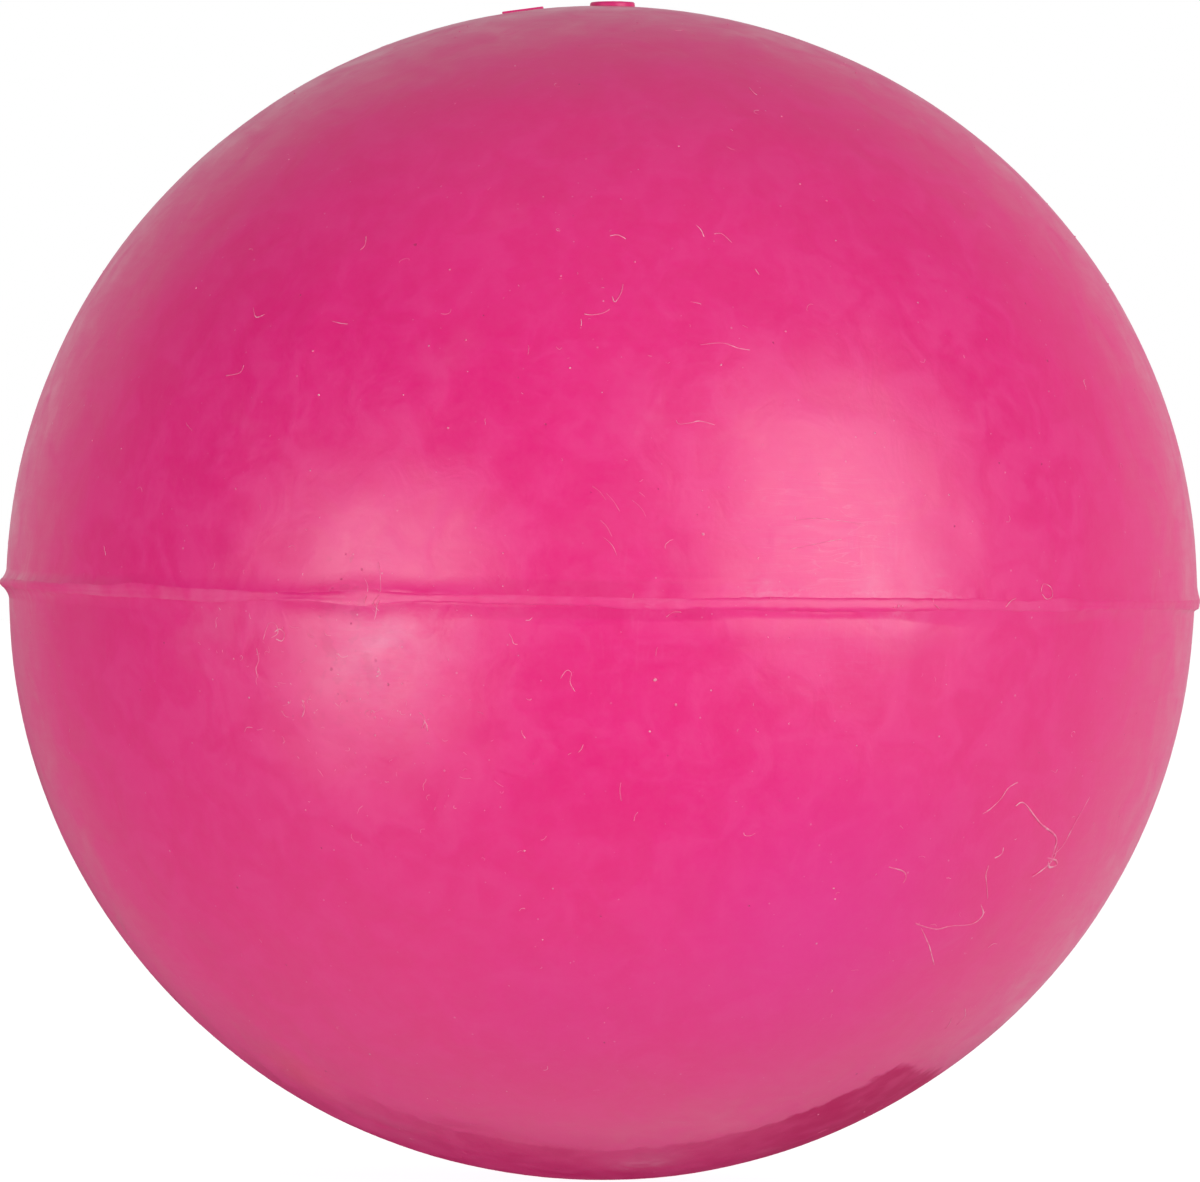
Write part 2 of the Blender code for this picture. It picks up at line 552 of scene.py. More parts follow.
@dataclass(frozen=True)
class FlankCourse:
    """How one flare changes along the seam."""

    rise: Course
    run: Course
    hollow: Course
    ledge: Course
    groove: Course
    ledge_gap: float
    ledge_width: float
    least_rise: float = 0.012 * MM
    least_run: float = 0.15 * MM

    def at(self, angle: float) -> Flank:
        """The flare at an angle in degrees."""
        return Flank(
            rise=max(self.least_rise, self.rise.at(angle)),
            run=max(self.least_run, self.run.at(angle)),
            hollow=max(1.0, self.hollow.at(angle)),
            ledge=max(0.0, self.ledge.at(angle)),
            groove=max(0.0, self.groove.at(angle)),
            ledge_gap=self.ledge_gap,
            ledge_width=self.ledge_width,
        )


CENTRE = Course(
    0.0,
    (
        (4, 0.0), (40, -0.06), (60, -0.10), (90, -0.09), (120, -0.13), (150, -0.06), (190, -0.17),
        (225, -0.22), (275, -0.17), (325, -0.14), (375, -0.12), (425, -0.08), (505, -0.07), (595, -0.08),
        (630, -0.15), (666, -0.13), (700, -0.09), (745, -0.08), (808, -0.07), (879, -0.03), (950, 0.01),
        (1020, -0.02), (1050, 0.06), (1080, 0.04), (1100, 0.03), (1196, 0.0),
    ),
    wander=0.02, seed=1.9, ripple=0.020,
)
HALF = Course(
    0.24,
    (
        (4, 0.24), (40, 0.25), (60, 0.25), (90, 0.25), (120, 0.27), (150, 0.36), (190, 0.30), (225, 0.32),
        (275, 0.23), (325, 0.22), (375, 0.42), (425, 0.20), (505, 0.23), (595, 0.23), (630, 0.29),
        (666, 0.27), (700, 0.26), (745, 0.32), (808, 0.34), (879, 0.34), (950, 0.31), (1020, 0.25),
        (1050, 0.33), (1080, 0.24), (1100, 0.27), (1140, 0.23), (1196, 0.24),
    ),
    wander=0.02, seed=9.4, ripple=0.032,
)
LEAST_HALF = 0.1 * MM
CREST = Course(
    0.03,
    ((4, 0.17), (40, 0.09), (80, 0.05), (225, 0.03), (666, 0.03), (745, 0.08), (910, 0.075), (1000, 0.03)),
    wander=0.010, pace=90, seed=7.7,
)
CORNER = Course(
    4.0,
    (
        (4, 1.6), (60, 2.4), (225, 3.4), (325, 3.0), (375, 2.4), (425, 3.4), (666, 3.4), (745, 2.7),
        (910, 2.7), (1000, 3.6),
    ),
    unit=1.0,
)
FURROW = Course(0.004, ((20, 0.006), (60, 0.02), (130, 0.02), (190, 0.004)), wander=0.012, pace=18, seed=21.0)
UPPER_FLANK = FlankCourse(
    rise=Course(
        0.20,
        (
            (4, 0.20), (60, 0.18), (120, 0.15), (190, 0.12), (225, 0.11), (275, 0.12), (325, 0.13),
            (375, 0.15), (425, 0.17), (475, 0.15), (535, 0.12), (595, 0.11), (630, 0.05), (666, 0.03),
            (700, 0.03), (745, 0.02), (950, 0.02), (985, 0.05), (1020, 0.08), (1100, 0.08), (1140, 0.08),
            (1196, 0.11),
        ),
        wander=0.02, seed=3.1, ripple=0.006,
    ),
    run=Course(
        0.72,
        (
            (4, 0.55), (60, 0.5), (120, 0.5), (190, 0.55), (225, 0.6), (275, 0.85), (325, 0.95), (375, 1.0),
            (425, 0.95), (535, 0.95), (595, 0.95), (630, 0.4), (745, 0.35), (910, 0.35), (985, 0.6),
            (1020, 0.75), (1100, 0.7), (1196, 0.72),
        ),
        wander=0.06, seed=6.3, ripple=0.02,
    ),
    hollow=Course(
        1.6,
        (
            (4, 2.0), (120, 1.8), (225, 1.7), (275, 1.9), (325, 1.9), (375, 1.5), (425, 1.9), (475, 1.8),
            (535, 1.25), (595, 1.15), (666, 1.6), (985, 1.5), (1020, 1.2), (1100, 1.25), (1196, 1.5),
        ),
        wander=0.15, pace=20, seed=15.0, unit=1.0,
    ),
    ledge=Course(
        0.0, ((590, 0.0), (626, 0.055), (666, 0.05), (700, 0.025), (740, 0.0)), wander=0.006, seed=30.0
    ),
    groove=Course(0.0, ((380, 0.0), (420, 0.02), (460, 0.0)), wander=0.012, pace=26, seed=12.5, ripple=0.02),
    ledge_gap=0.86 * MM,
    ledge_width=0.34 * MM,
)
LOWER_FLANK = FlankCourse(
    rise=Course(
        0.30,
        (
            (4, 0.28), (60, 0.20), (120, 0.12), (190, 0.10), (225, 0.08), (275, 0.12), (310, 0.24),
            (375, 0.24), (425, 0.20), (475, 0.17), (535, 0.16), (595, 0.16), (630, 0.17), (666, 0.17),
            (700, 0.14), (745, 0.08), (879, 0.08), (910, 0.12), (950, 0.12), (1020, 0.12), (1080, 0.15),
            (1110, 0.08), (1140, 0.06), (1170, 0.10), (1196, 0.21),
        ),
        wander=0.02, seed=4.4, ripple=0.007,
    ),
    run=Course(
        0.72,
        (
            (4, 0.6), (120, 0.6), (190, 0.8), (275, 1.0), (325, 1.1), (375, 1.1), (425, 1.1), (475, 0.7),
            (535, 0.9), (595, 0.9), (630, 0.6), (700, 0.6), (745, 0.42), (879, 0.42), (910, 0.6),
            (950, 0.8), (1020, 0.8), (1080, 0.6), (1110, 0.6), (1150, 0.5), (1196, 0.22),
        ),
        wander=0.08, seed=4.9, ripple=0.03,
    ),
    hollow=Course(
        1.6,
        (
            (4, 2.1), (225, 1.4), (310, 2.1), (425, 1.9), (475, 1.3), (666, 1.2), (745, 1.7), (950, 1.4),
            (1196, 2.1),
        ),
        wander=0.15, pace=30, seed=17.0, unit=1.0,
    ),
    ledge=Course(
        0.0,
        (
            (60, 0.0), (120, 0.04), (190, 0.08), (225, 0.12), (275, 0.14), (425, 0.14), (535, 0.11),
            (700, 0.11), (808, 0.12), (879, 0.12), (950, 0.10), (1020, 0.09), (1100, 0.10), (1140, 0.07),
            (1180, 0.0),
        ),
    ),
    groove=Course(
        0.0, ((400, 0.0), (450, 0.02), (520, 0.02), (600, 0.0)), wander=0.014, pace=26, seed=18.5, ripple=0.03
    ),
    ledge_gap=2.2 * MM,
    ledge_width=3.2 * MM,
)


@lru_cache(maxsize=None)
def seam_at(angle: float) -> Section:
    """The ridge at an angle in degrees round the ball."""
    return Section(
        centre=CENTRE.at(angle),
        half=max(LEAST_HALF, HALF.at(angle)),
        crest=CREST.at(angle),
        corner=CORNER.at(angle),
        furrow=max(0.0, FURROW.at(angle)),
        upper=UPPER_FLANK.at(angle),
        lower=LOWER_FLANK.at(angle),
    )


def seam_stands_out(direction: Vector) -> float:
    """How far the ridge or a cup's flare stands out.

    Args:
        direction: A unit vector from the ball's centre.

    Returns:
        The height over the ball's own skin.
    """
    side = side_of(direction.z)
    section = seam_at(math.degrees(math.atan2(direction.y, direction.x)))
    gap = abs(direction.z) * FORM.rim(side) - section.half - side.value * section.centre
    return section.flank(side).height(gap) + (section.crest if gap < 0 else 0.0)


# Mesh tools


def flat_direction(angle: float) -> Vector:
    """The level direction at an angle in degrees round the ball."""
    turn = math.radians(angle)
    return Vector((math.cos(turn), math.sin(turn), 0))


def steps_round(segments: int) -> list[float]:
    """Even angles round the ball, in degrees."""
    return [360 * step / segments for step in range(segments)]


def level_ring(radius: float, height: float, segments: int) -> np.ndarray:
    """A round, level ring of points."""
    turns = np.arange(segments) * math.tau / segments
    return np.stack([radius * np.cos(turns), radius * np.sin(turns), np.full(segments, height)], axis=1)


def pole_point(height: float) -> np.ndarray:
    """A ring of one point, on the ball's axis."""
    return np.array([[0, 0, height]])


def smooth_mesh(name: str, editable: bmesh.types.BMesh) -> bpy.types.Mesh:
    """Finishes an edited mesh.

    Args:
        name: The mesh's name.
        editable: The edited mesh, which is freed.

    Returns:
        The mesh, smooth and with its faces out.
    """
    bmesh.ops.recalc_face_normals(editable, faces=editable.faces)
    mesh = bpy.data.meshes.new(name)
    editable.to_mesh(mesh)
    editable.free()
    mesh.shade_smooth()
    return mesh


def skin_rings(name: str, rings: Sequence[np.ndarray]) -> bpy.types.Mesh:
    """Skins a closed round of rings into a mesh.

    Args:
        name: The mesh's name.
        rings: Arrays of points, one row per segment. The last ring joins the first. A ring of one point is a
            pole, and two poles side by side aren't joined.

    Returns:
        The closed mesh.
    """
    starts = np.cumsum([0] + [len(ring) for ring in rings]).tolist()
    around = range(max(len(ring) for ring in rings))
    edges = list(zip(around, [*around[1:], 0]))
    faces: list[tuple[int, ...]] = []
    for low, ring in enumerate(rings):
        high = (low + 1) % len(rings)
        here, there = starts[low], starts[high]
        if len(ring) == len(rings[high]) == 1:
            continue
        if len(ring) == 1:
            faces += [(here, there + b, there + a) for a, b in edges]
        elif len(rings[high]) == 1:
            faces += [(there, here + a, here + b) for a, b in edges]
        else:
            faces += [(here + a, here + b, there + b, there + a) for a, b in edges]
    raw = bpy.data.meshes.new(name + "_raw")
    raw.from_pydata(np.concatenate(rings).tolist(), [], faces)
    editable = bmesh.new()
    editable.from_mesh(raw)
    bpy.data.meshes.remove(raw)
    return smooth_mesh(name, editable)


def add_object(name: str, data: bpy.types.ID) -> bpy.types.Object:
    """Puts an object in the scene.

    Args:
        name: The object's name.
        data: Its mesh, light or camera.

    Returns:
        The new object.
    """
    made = bpy.data.objects.new(name, data)
    bpy.context.scene.collection.objects.link(made)
    return made


def settle(name: str, mesh: bpy.types.Mesh, material: bpy.types.Material) -> bpy.types.Object:
    """Makes a piece of a mesh, dresses it and lets it ride on the ball.

    Args:
        name: The piece's name.
        mesh: Its mesh, in the ball's frame.
        material: Its finish.

    Returns:
        The new object.
    """
    mesh.materials.append(material)
    piece = add_object(name, mesh)
    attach(piece, "root")
    LOG.info("%s: %d faces", name, len(mesh.polygons))
    return piece


# Finishes


class Trait(Enum):
    """What a mark does to the skin."""

    BLOOM = auto()
    SCUFF = auto()
    SCRATCH = auto()
    STREAK = auto()
    DUST = auto()
    GRIME = auto()
    STAIN = auto()
    VIOLET = auto()
    TRIM = auto()
    FRINGE = auto()


@dataclass(frozen=True)
class Mark:
    """A round patch of the skin: its pixel's column and row, its reach in millimetres and its strength."""

    column: float
    row: float
    reach: float
    strength: float

    def mask(self, bench: Bench, place: Socket) -> Wire:
        """Its strength over the surface."""
        centre = FORM.surface(VIEW.direction((self.column, self.row))) / MM
        return bench.near(place, centre, self.reach) * self.strength


def marks(*rows: tuple[float, float, float, float]) -> tuple[Mark, ...]:
    """Makes marks of rows of column, row, reach and strength."""
    return tuple(Mark(*row) for row in rows)


@dataclass(frozen=True)
class PaintedShadePatch:
    """Painted shade near the lower pole: a dull, dark patch in place of the dark reflection of the shadowed
    floor under the ball. Sizes are in millimetres.
    """

    front: float = -10.1
    back: float = 1.6
    fade: float = 5.0
    rag: float = 11.0
    round_off: float = 6.0
    left: float = -13.0
    left_fade: float = 5.0
    top: float = -16.6
    tilt: float = 0.34
    edge: float = 0.4
    faint: float = 0.32
    deep_band: Band = (4.0, 13.0)
    uneven: Cloud = Cloud(0.7, 3.0)
    uneven_band: Band = (0.25, 0.65)
    uneven_share: float = 0.3
    ragged: Cloud = Cloud(0.3, 3.0)
    ruffle: tuple[float, float] = (0.9, 1.2)

    def mask(self, bench: Bench, place: Socket) -> Wire:
        """How much painted shade lies on the skin: most at the patch's right, least at its left, and ragged
        at its back.

        Args:
            bench: The material's nodes.
            place: The position, in millimetres.

        Returns:
            0 outside the patch, up to 1 inside it.
        """
        across, away, high = bench.axes(bench.ruffled(place, *self.ruffle))
        uneven = self.uneven.on(bench, place).rise(*self.uneven_band)
        uneven = uneven * self.uneven_share + (1 - self.uneven_share)
        deep = (self.faint + across.rise(*self.deep_band) * (1 - self.faint)) * uneven
        ragged = away + (self.ragged.on(bench, place) - 0.5) * self.rag
        gone = ragged.rise(self.back, self.back + self.fade)
        below = (high + across * self.tilt + gone * self.round_off).rise(self.top, self.top - 2 * self.edge)
        aside = away.rise(self.front - self.edge, self.front) * (1 - gone)
        return deep * below * aside * across.rise(self.left, self.left + self.left_fade)


SWELL = Cloud(0.15, 1.0, 0.4)
PATCH = Cloud(0.42, 4.0, 0.9)
GRAIN = Cloud(4.5, 3.0)
MOTTLE = Cloud(1.5, 3.0)
BLOOM = Cloud(0.55, 3.0)
WIPED = Cloud(1.0, 3.0, 0.5, (0.45, 0.45, 3.2))
COMBED = Cloud(1.0, 3.0, 0.0, (5.0, 5.0, 0.45))
SMEAR = Cloud(1.0, 4.0, 0.6, (0.9, 0.9, 3.4))
HAIRLINE = Cloud(1.0, 2.0, 0.8, (0.22, 0.22, 1.5))
SOIL = Specks(0.50, 0.10)
MOTES = Specks(0.62, 0.075)
CRUMB_SPECKS = Specks(1.7, 0.080)
PITS = Specks(1.5, 0.085)

BAND = {
    "toned": (0.35, 0.65), "patchy": (0.50, 0.64), "dusty": (0.30, 0.62), "mottled": (0.36, 0.66),
    "smudged": (0.47, 0.36), "bloom_and_highlight_share": (0.28, 0.68), "scuffed": (0.44, 0.62), "hairline": (0.016, 0.0),
    "scratched": (0.3, 0.5), "wiped": (0.50, 0.66), "combed": (0.52, 0.72), "fringed": (0.42, 0.58),
}
WIPED_SHARE = 0.5
SPECK_RUFFLE = (3.0, 0.16)
SEAM_RUFFLE = (1.3, 0.14)
PIT_SQUEEZE = (1.0, 1.0, 0.9)
# How much each trait pales the skin; the bloom marks are partly painted highlight.
HAZE_AND_HIGHLIGHT = {
    "patchy": 0.03, "lines": 0.20, "scuffed": 0.4, "grain": 0.09, "mottled": 0.035, "bloom_and_highlight_share": 1.0,
    "fringed": 0.30,
}
DIRT = {"pits": 0.5, "soiled": 0.5, "smudged": 0.17}
DUST = {"motes": 1.0, "crumbs": 0.65}
ROUGH = {
    "patch": 0.34, "wiped": 0.10, "grain": 0.06, "scuffed": 0.12, "soiled": 0.1, "lines": -0.05, "motes": 0.2,
}
MIDDLE_ROUGH = 0.5 * (ROUGH["patch"] + ROUGH["wiped"] + ROUGH["grain"])
RELIEF = {
    "swell": 0.20, "patch": 0.030, "grain": 0.0035, "motes": 0.010, "crumbs": 0.020, "soiled": -0.012,
    "pits": -0.028,
}


def weigh(traits: "Mapping[str, Wire | float]", shares: Mapping[str, float]) -> "Wire | float":
    """Adds up some of the skin's traits.

    Args:
        traits: Every trait by name.
        shares: How much each wanted trait counts.

    Returns:
        The sum.
    """
    total: Wire | float = 0.0
    for name, share in shares.items():
        total = traits[name] * share + total
    return total


@dataclass(frozen=True)
class RubberFinish:
    """Vulcanised rubber: satin, cloudy with bloom and partly painted highlight, finely grained, pitted,
    scratched and dusty.
    """

    name: str
    marks: Mapping[Trait, tuple[Mark, ...]] = field(default_factory=dict)
    shift: tuple[float, float, float] = (0.0, 0.0, 0.0)
    roughness: float = 0.36
    smoothest: float = 0.29
    gloss: float = 0.75
    painted_shade: PaintedShadePatch | None = None
    colour: Rgb = (0.905, 0.006, 0.228)
    deep: Rgb = (0.885, 0.003, 0.206)
    # Painted shade: the darker colour of the band in the flare beside the seam, where shade falls.
    trimmed: Rgb = (0.79, 0.002, 0.170)
    # The pale colour of bloom, haze and painted highlight.
    bloom_and_highlight: Rgb = (0.90, 0.17, 0.37)
    dust: Rgb = (0.93, 0.36, 0.52)
    grime: Rgb = (0.42, 0.012, 0.09)
    # Painted reflection: the tint of an orange thing reflected near the bottom-left edge.
    orange_reflection: Rgb = (0.90, 0.06, 0.10)
    violet: Rgb = (0.88, 0.006, 0.31)
    # The painted shade patch's colour, roughness and gloss: darker and far less glossy than the skin.
    dull: Rgb = (0.62, 0.002, 0.125)
    painted_shade_roughness: float = 0.5
    painted_shade_gloss: float = 0.12
    seam_level: float = 0.07
    seam_flank_shade_reach: Band = (1.06, 0.82)
    fringe_reach: Band = (0.95, 0.45)
    plain_dust: float = 0.35

    def material(self) -> bpy.types.Material:
        """Builds the material.

        Returns:
            The material. It works in millimetres of the ball's own frame.
        """
        made, bench = new_material(self.name)
        place = place_on_ball(bench)
        traits = self._traits(bench, place)
        colour = bench.blend(traits["patch"].rise(*BAND["toned"]), rgba(self.deep), rgba(self.colour))
        for share, over in (
            (traits["orange_reflected"], self.orange_reflection),
            (traits["violet"], self.violet),
            (traits["trimmed"], self.trimmed),
            (weigh(traits, HAZE_AND_HIGHLIGHT), self.bloom_and_highlight),
            (weigh(traits, DIRT), self.grime),
            (weigh(traits, DUST), self.dust),
        ):
            colour = bench.blend(share, colour, rgba(over))
        relief = {"Strength": 1.0, "Distance": MM, "Height": weigh(traits, RELIEF)}
        normal = bench.node("ShaderNodeBump", {}, relief).outputs[0]
        rough = weigh(traits, ROUGH) + (self.roughness - MIDDLE_ROUGH)
        surface = self._skin(bench, colour, rough.at_least(self.smoothest), normal, self.gloss)
        # Painted shade: over the patch near the lower pole, a dull, dark shader is mixed in.
        if self.painted_shade is not None:
            dull = self._skin(bench, rgba(self.dull), self.painted_shade_roughness, normal, self.painted_shade_gloss)
            surface = bench.mixed(self.painted_shade.mask(bench, place), surface, dull)
        bench.node("ShaderNodeOutputMaterial", {}, {"Surface": surface})
        return made

    @staticmethod
    def _skin(bench: Bench, colour: Any, roughness: "Wire | float", normal: Socket, gloss: float) -> Socket:
        """The shader of a skin."""
        inputs = {"Base Color": colour, "Roughness": roughness, "Normal": normal, "Specular IOR Level": gloss}
        return bench.node("ShaderNodeBsdfPrincipled", {}, inputs).outputs[0]

    def _traits(self, bench: Bench, place: Socket) -> "dict[str, Wire | float]":
        """Everything that changes over the skin.

        Args:
            bench: The material's nodes.
            place: The position, in millimetres.

        Returns:
            Each trait by name, mostly from 0 to 1.
        """
        shifted = {0: place, 1: Vector(self.shift)}
        moved = bench.node("ShaderNodeVectorMath", {"operation": "ADD"}, shifted).outputs[0]
        ruffled = bench.ruffled(moved, *SPECK_RUFFLE)
        patch, grain, mottle, wiped = (cloud.on(bench, moved) for cloud in (PATCH, GRAIN, MOTTLE, WIPED))
        summed = {trait: self._sum(bench, place, trait) for trait in Trait}

        hairlines = abs(HAIRLINE.on(bench, moved) - 0.5).rise(*BAND["hairline"])
        scratched = hairlines * grain.rise(*BAND["scratched"]) + wiped.rise(*BAND["wiped"]) * WIPED_SHARE
        scratched = scratched * summed[Trait.SCRATCH]
        streaked = COMBED.on(bench, moved).rise(*BAND["combed"]) * summed[Trait.STREAK]
        beside_seam = abs(bench.axes(bench.ruffled(place, *SEAM_RUFFLE))[2] - self.seam_level)
        fringe = beside_seam.rise(*self.fringe_reach)
        dusty = MOTES.on(bench, moved) * (self.plain_dust + summed[Trait.DUST])
        return {
            "swell": SWELL.on(bench, moved),
            "patch": patch,
            "patchy": patch.rise(*BAND["patchy"]),
            "grain": grain,
            "mottled": mottle.rise(*BAND["mottled"]),
            "wiped": wiped,
            "lines": scratched + streaked,
            "scuffed": SMEAR.on(bench, moved).rise(*BAND["scuffed"]) * summed[Trait.SCUFF],
            "bloom_and_highlight_share": BLOOM.on(bench, moved).rise(*BAND["bloom_and_highlight_share"]) * summed[Trait.BLOOM],
            "smudged": mottle.rise(*BAND["smudged"]) * summed[Trait.GRIME],
            "soiled": SOIL.on(bench, ruffled) * summed[Trait.GRIME],
            "pits": PITS.on(bench, bench.stretched(ruffled, Vector(PIT_SQUEEZE))),
            "motes": dusty * patch.rise(*BAND["dusty"]),
            "crumbs": CRUMB_SPECKS.on(bench, place),
            "fringed": fringe * grain.rise(*BAND["fringed"]) * summed[Trait.FRINGE],
            "trimmed": beside_seam.rise(*self.seam_flank_shade_reach) * summed[Trait.TRIM],
            "orange_reflected": summed[Trait.STAIN],
            "violet": summed[Trait.VIOLET],
        }

    def _sum(self, bench: Bench, place: Socket, trait: Trait) -> "Wire | float":
        """The masks of one trait's marks, added up.

        Args:
            bench: The material's nodes.
            place: The position, in millimetres.
            trait: What the marks do.

        Returns:
            The sum, or 0 where there are none.
        """
        total: Wire | float = 0.0
        for mark in self.marks.get(trait, ()):
            total = mark.mask(bench, place) + total
        return total


@dataclass(frozen=True)
class FibreFinish:
    """Loose textile fibre, pale and a little uneven in colour."""

    name: str = "lint_fibre"
    light: Rgb = (0.96, 0.42, 0.56)
    dull: Rgb = (0.93, 0.15, 0.35)
    roughness: float = 0.6
    tone: Cloud = Cloud(1.6, 3.0)
    light_band: Band = (0.44, 0.70)

    def material(self) -> bpy.types.Material:
        """Builds the material.

        Returns:
            The material.
        """
        made, bench = new_material(self.name)
        tone = self.tone.on(bench, place_on_ball(bench)).rise(*self.light_band)
        colour = bench.blend(tone, rgba(self.dull), rgba(self.light))
        inputs = {"Base Color": colour, "Roughness": self.roughness}
        thread = bench.node("ShaderNodeBsdfPrincipled", {}, inputs).outputs[0]
        bench.node("ShaderNodeOutputMaterial", {}, {"Surface": thread})
        return made


@dataclass(frozen=True)
class FloorFinish:
    """A translucent white table: it keeps a soft shadow, and shows white to the camera in the open."""

    name: str = "floor_acrylic"
    colour: Rgb = (0.88, 0.88, 0.88)
    opacity: float = 0.36
    side_opacity: float = 0.12
    glow: float = 0.85

    def material(self) -> bpy.types.Material:
        """Builds the material.

        Returns:
            The material, which is clear from below so that the ball's underside shows.
        """
        made, bench = new_material(self.name)
        to_camera = Wire(bench, bench.node("ShaderNodeLightPath", {}, {}).outputs["Is Camera Ray"])
        behind = Wire(bench, bench.node("ShaderNodeNewGeometry", {}, {}).outputs["Backfacing"])
        matt = bench.node("ShaderNodeBsdfDiffuse", {}, {"Color": rgba(self.colour)}).outputs[0]
        glow = bench.node("ShaderNodeEmission", {}, {"Strength": self.glow}).outputs[0]
        bright = bench.node("ShaderNodeAddShader", {}, {0: matt, 1: glow}).outputs[0]
        clear = bench.node("ShaderNodeBsdfTransparent", {}, {}).outputs[0]
        share = (1 - behind) * (to_camera * (self.opacity - self.side_opacity) + self.side_opacity)
        surface = bench.mixed(share, clear, bench.mixed(to_camera, matt, bright))
        bench.node("ShaderNodeOutputMaterial", {}, {"Surface": surface})
        return made


# Sub-assemblies


@dataclass(frozen=True)
class PlugForm:
    """The air plug's sizes, and those of its seat in the upper cup, in metres."""

    tip_radius: float = 1.12 * MM
    tip_height: float = 0.24 * MM
    tip_sink: float = 0.2 * MM
    seat_radius: float = 1.14 * MM
    seat_depth: float = 1.5 * MM
    root_radius: float = 2.1 * MM
    head_radius: float = 4.0 * MM
    head_thickness: float = 1.5 * MM
    head_gap: float = 0.02 * MM
    boss_radius: float = 6.0 * MM
    boss_flank: float = 1.2 * MM
    boss_thickness: float = 1.5 * MM

    @property
    def boss_face(self) -> float:
        """The height of the boss's inner face."""
        return FORM.pole - FORM.wall - self.boss_thickness


@dataclass
class Cup:
    """One moulded half: outer skin with its flared edge, 4 mm wall and inner skin."""

    side: Side
    finish: RubberFinish
    plug: PlugForm = field(default_factory=PlugForm)
    segments: int = 960
    lip_rows: int = 30
    lip_reach: float = 1.35 * MM
    lip_crowding: float = 1.3
    body_rows: int = 50
    inner_rows: int = 14
    inner_start: float = 0.04
    tuck: float = 0.04 * MM
    edge_round: float = 0.075 * MM
    edge_unevenness: float = 0.25
    rim_rings: tuple[tuple[float, float], ...] = ((0.5 * MM, 0.25 * MM), (3.6 * MM, 0.2 * MM))

    @property
    def node(self) -> str:
        """The CAD node that it replaces."""
        return "upper_cup" if self.side is Side.UPPER else "lower_cup"

    @property
    def cover(self) -> float:
        """The share of the quarter arc that the outer skin covers: all of it but the plug's seat."""
        seat = self.plug.seat_radius / FORM.upper_rim / (math.pi / 2)
        return 1.0 - seat if self.side is Side.UPPER else 1.0

    def outer_point(self, angle: float, climb: float) -> Vector:
        """A point of the outer skin.

        Args:
            angle: Degrees round the ball.
            climb: 0 at the edge under the ridge, 1 at the end of the flare, 2 at the pole or the plug's seat.

        Returns:
            The point.
        """
        sign = self.side.value
        section = seam_at(angle)
        flank = section.flank(self.side)
        edge = section.half + sign * section.centre
        lowest = edge - self.tuck
        if climb <= 1:
            height = lowest + self.lip_reach * climb**self.lip_crowding
        else:
            first = math.asin((lowest + self.lip_reach) / FORM.pole)
            height = FORM.pole * math.sin(first + (math.pi / 2 - first) * (climb - 1) * self.cover)
        crease = math.exp(-(((height - edge) / self.edge_round) ** 2)) * flank.groove
        flat = flat_direction(angle)
        point = flat * FORM.radius_at(self.side, height) + Vector((0, 0, sign * height))
        direction = point.normalized()
        climbed = (1 - self.edge_unevenness) * (height - lowest) / self.lip_reach
        fade = min(1.0, self.edge_unevenness + climbed)
        skin = direction * FORM.unevenness(direction) * fade
        return point + skin + flat * (flank.height(height - edge) - crease)

    def build(self) -> bpy.types.Mesh:
        """Builds the cup.

        Returns:
            The closed mesh.
        """
        climbs = [step / self.lip_rows for step in range(self.lip_rows)]
        climbs += [1 + step / self.body_rows for step in range(self.body_rows + 1)]
        if self.side is Side.LOWER:
            climbs.pop()
        angles = steps_round(self.segments)
        rings = [np.array([self.outer_point(angle, climb) for angle in angles]) for climb in climbs]
        if self.side is Side.LOWER:
            rings.append(pole_point(-FORM.pole - FORM.unevenness(Vector((0, 0, -1)))))
            inner_top = math.pi / 2
        else:
            plug = self.plug
            rings.append(self._ring(plug.seat_radius, FORM.pole - plug.seat_depth))
            rings.append(self._ring(plug.root_radius, plug.boss_face))
            rings.append(self._ring(plug.boss_radius, plug.boss_face))
            inner_top = math.acos((plug.boss_radius + plug.boss_flank) / (FORM.upper_rim - FORM.wall))
        return skin_rings(self.node + "_skin", rings + self._inner_rings(inner_top))

    def _ring(self, radius: float, height: float) -> np.ndarray:
        """A round ring at a height on this cup's side."""
        return level_ring(radius, self.side.value * height, self.segments)

    def _inner_rings(self, top: float) -> list[np.ndarray]:
        """The inner skin, and the rim's chamfer.

        Args:
            top: The angle, over the parting plane, at which the inner skin starts.

        Returns:
            Rings from the top down to the rim.
        """
        inner_rim = FORM.rim(self.side) - FORM.wall
        inner_pole = FORM.pole - FORM.wall
        rings: list[np.ndarray] = []
        for step in range(self.inner_rows + 1):
            share = step / self.inner_rows
            turn = top * (1 - share) + self.inner_start * share
            if math.isclose(turn, math.pi / 2):
                rings.append(pole_point(self.side.value * inner_pole))
            else:
                rings.append(self._ring(inner_rim * math.cos(turn), inner_pole * math.sin(turn)))
        return rings + [self._ring(inner_rim + out, height) for out, height in self.rim_rings]

    def dress(self) -> None:
        """Adds the cup to the ball."""
        piece = settle(self.node + "_skin", self.build(), self.finish.material())
        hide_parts(self.node)


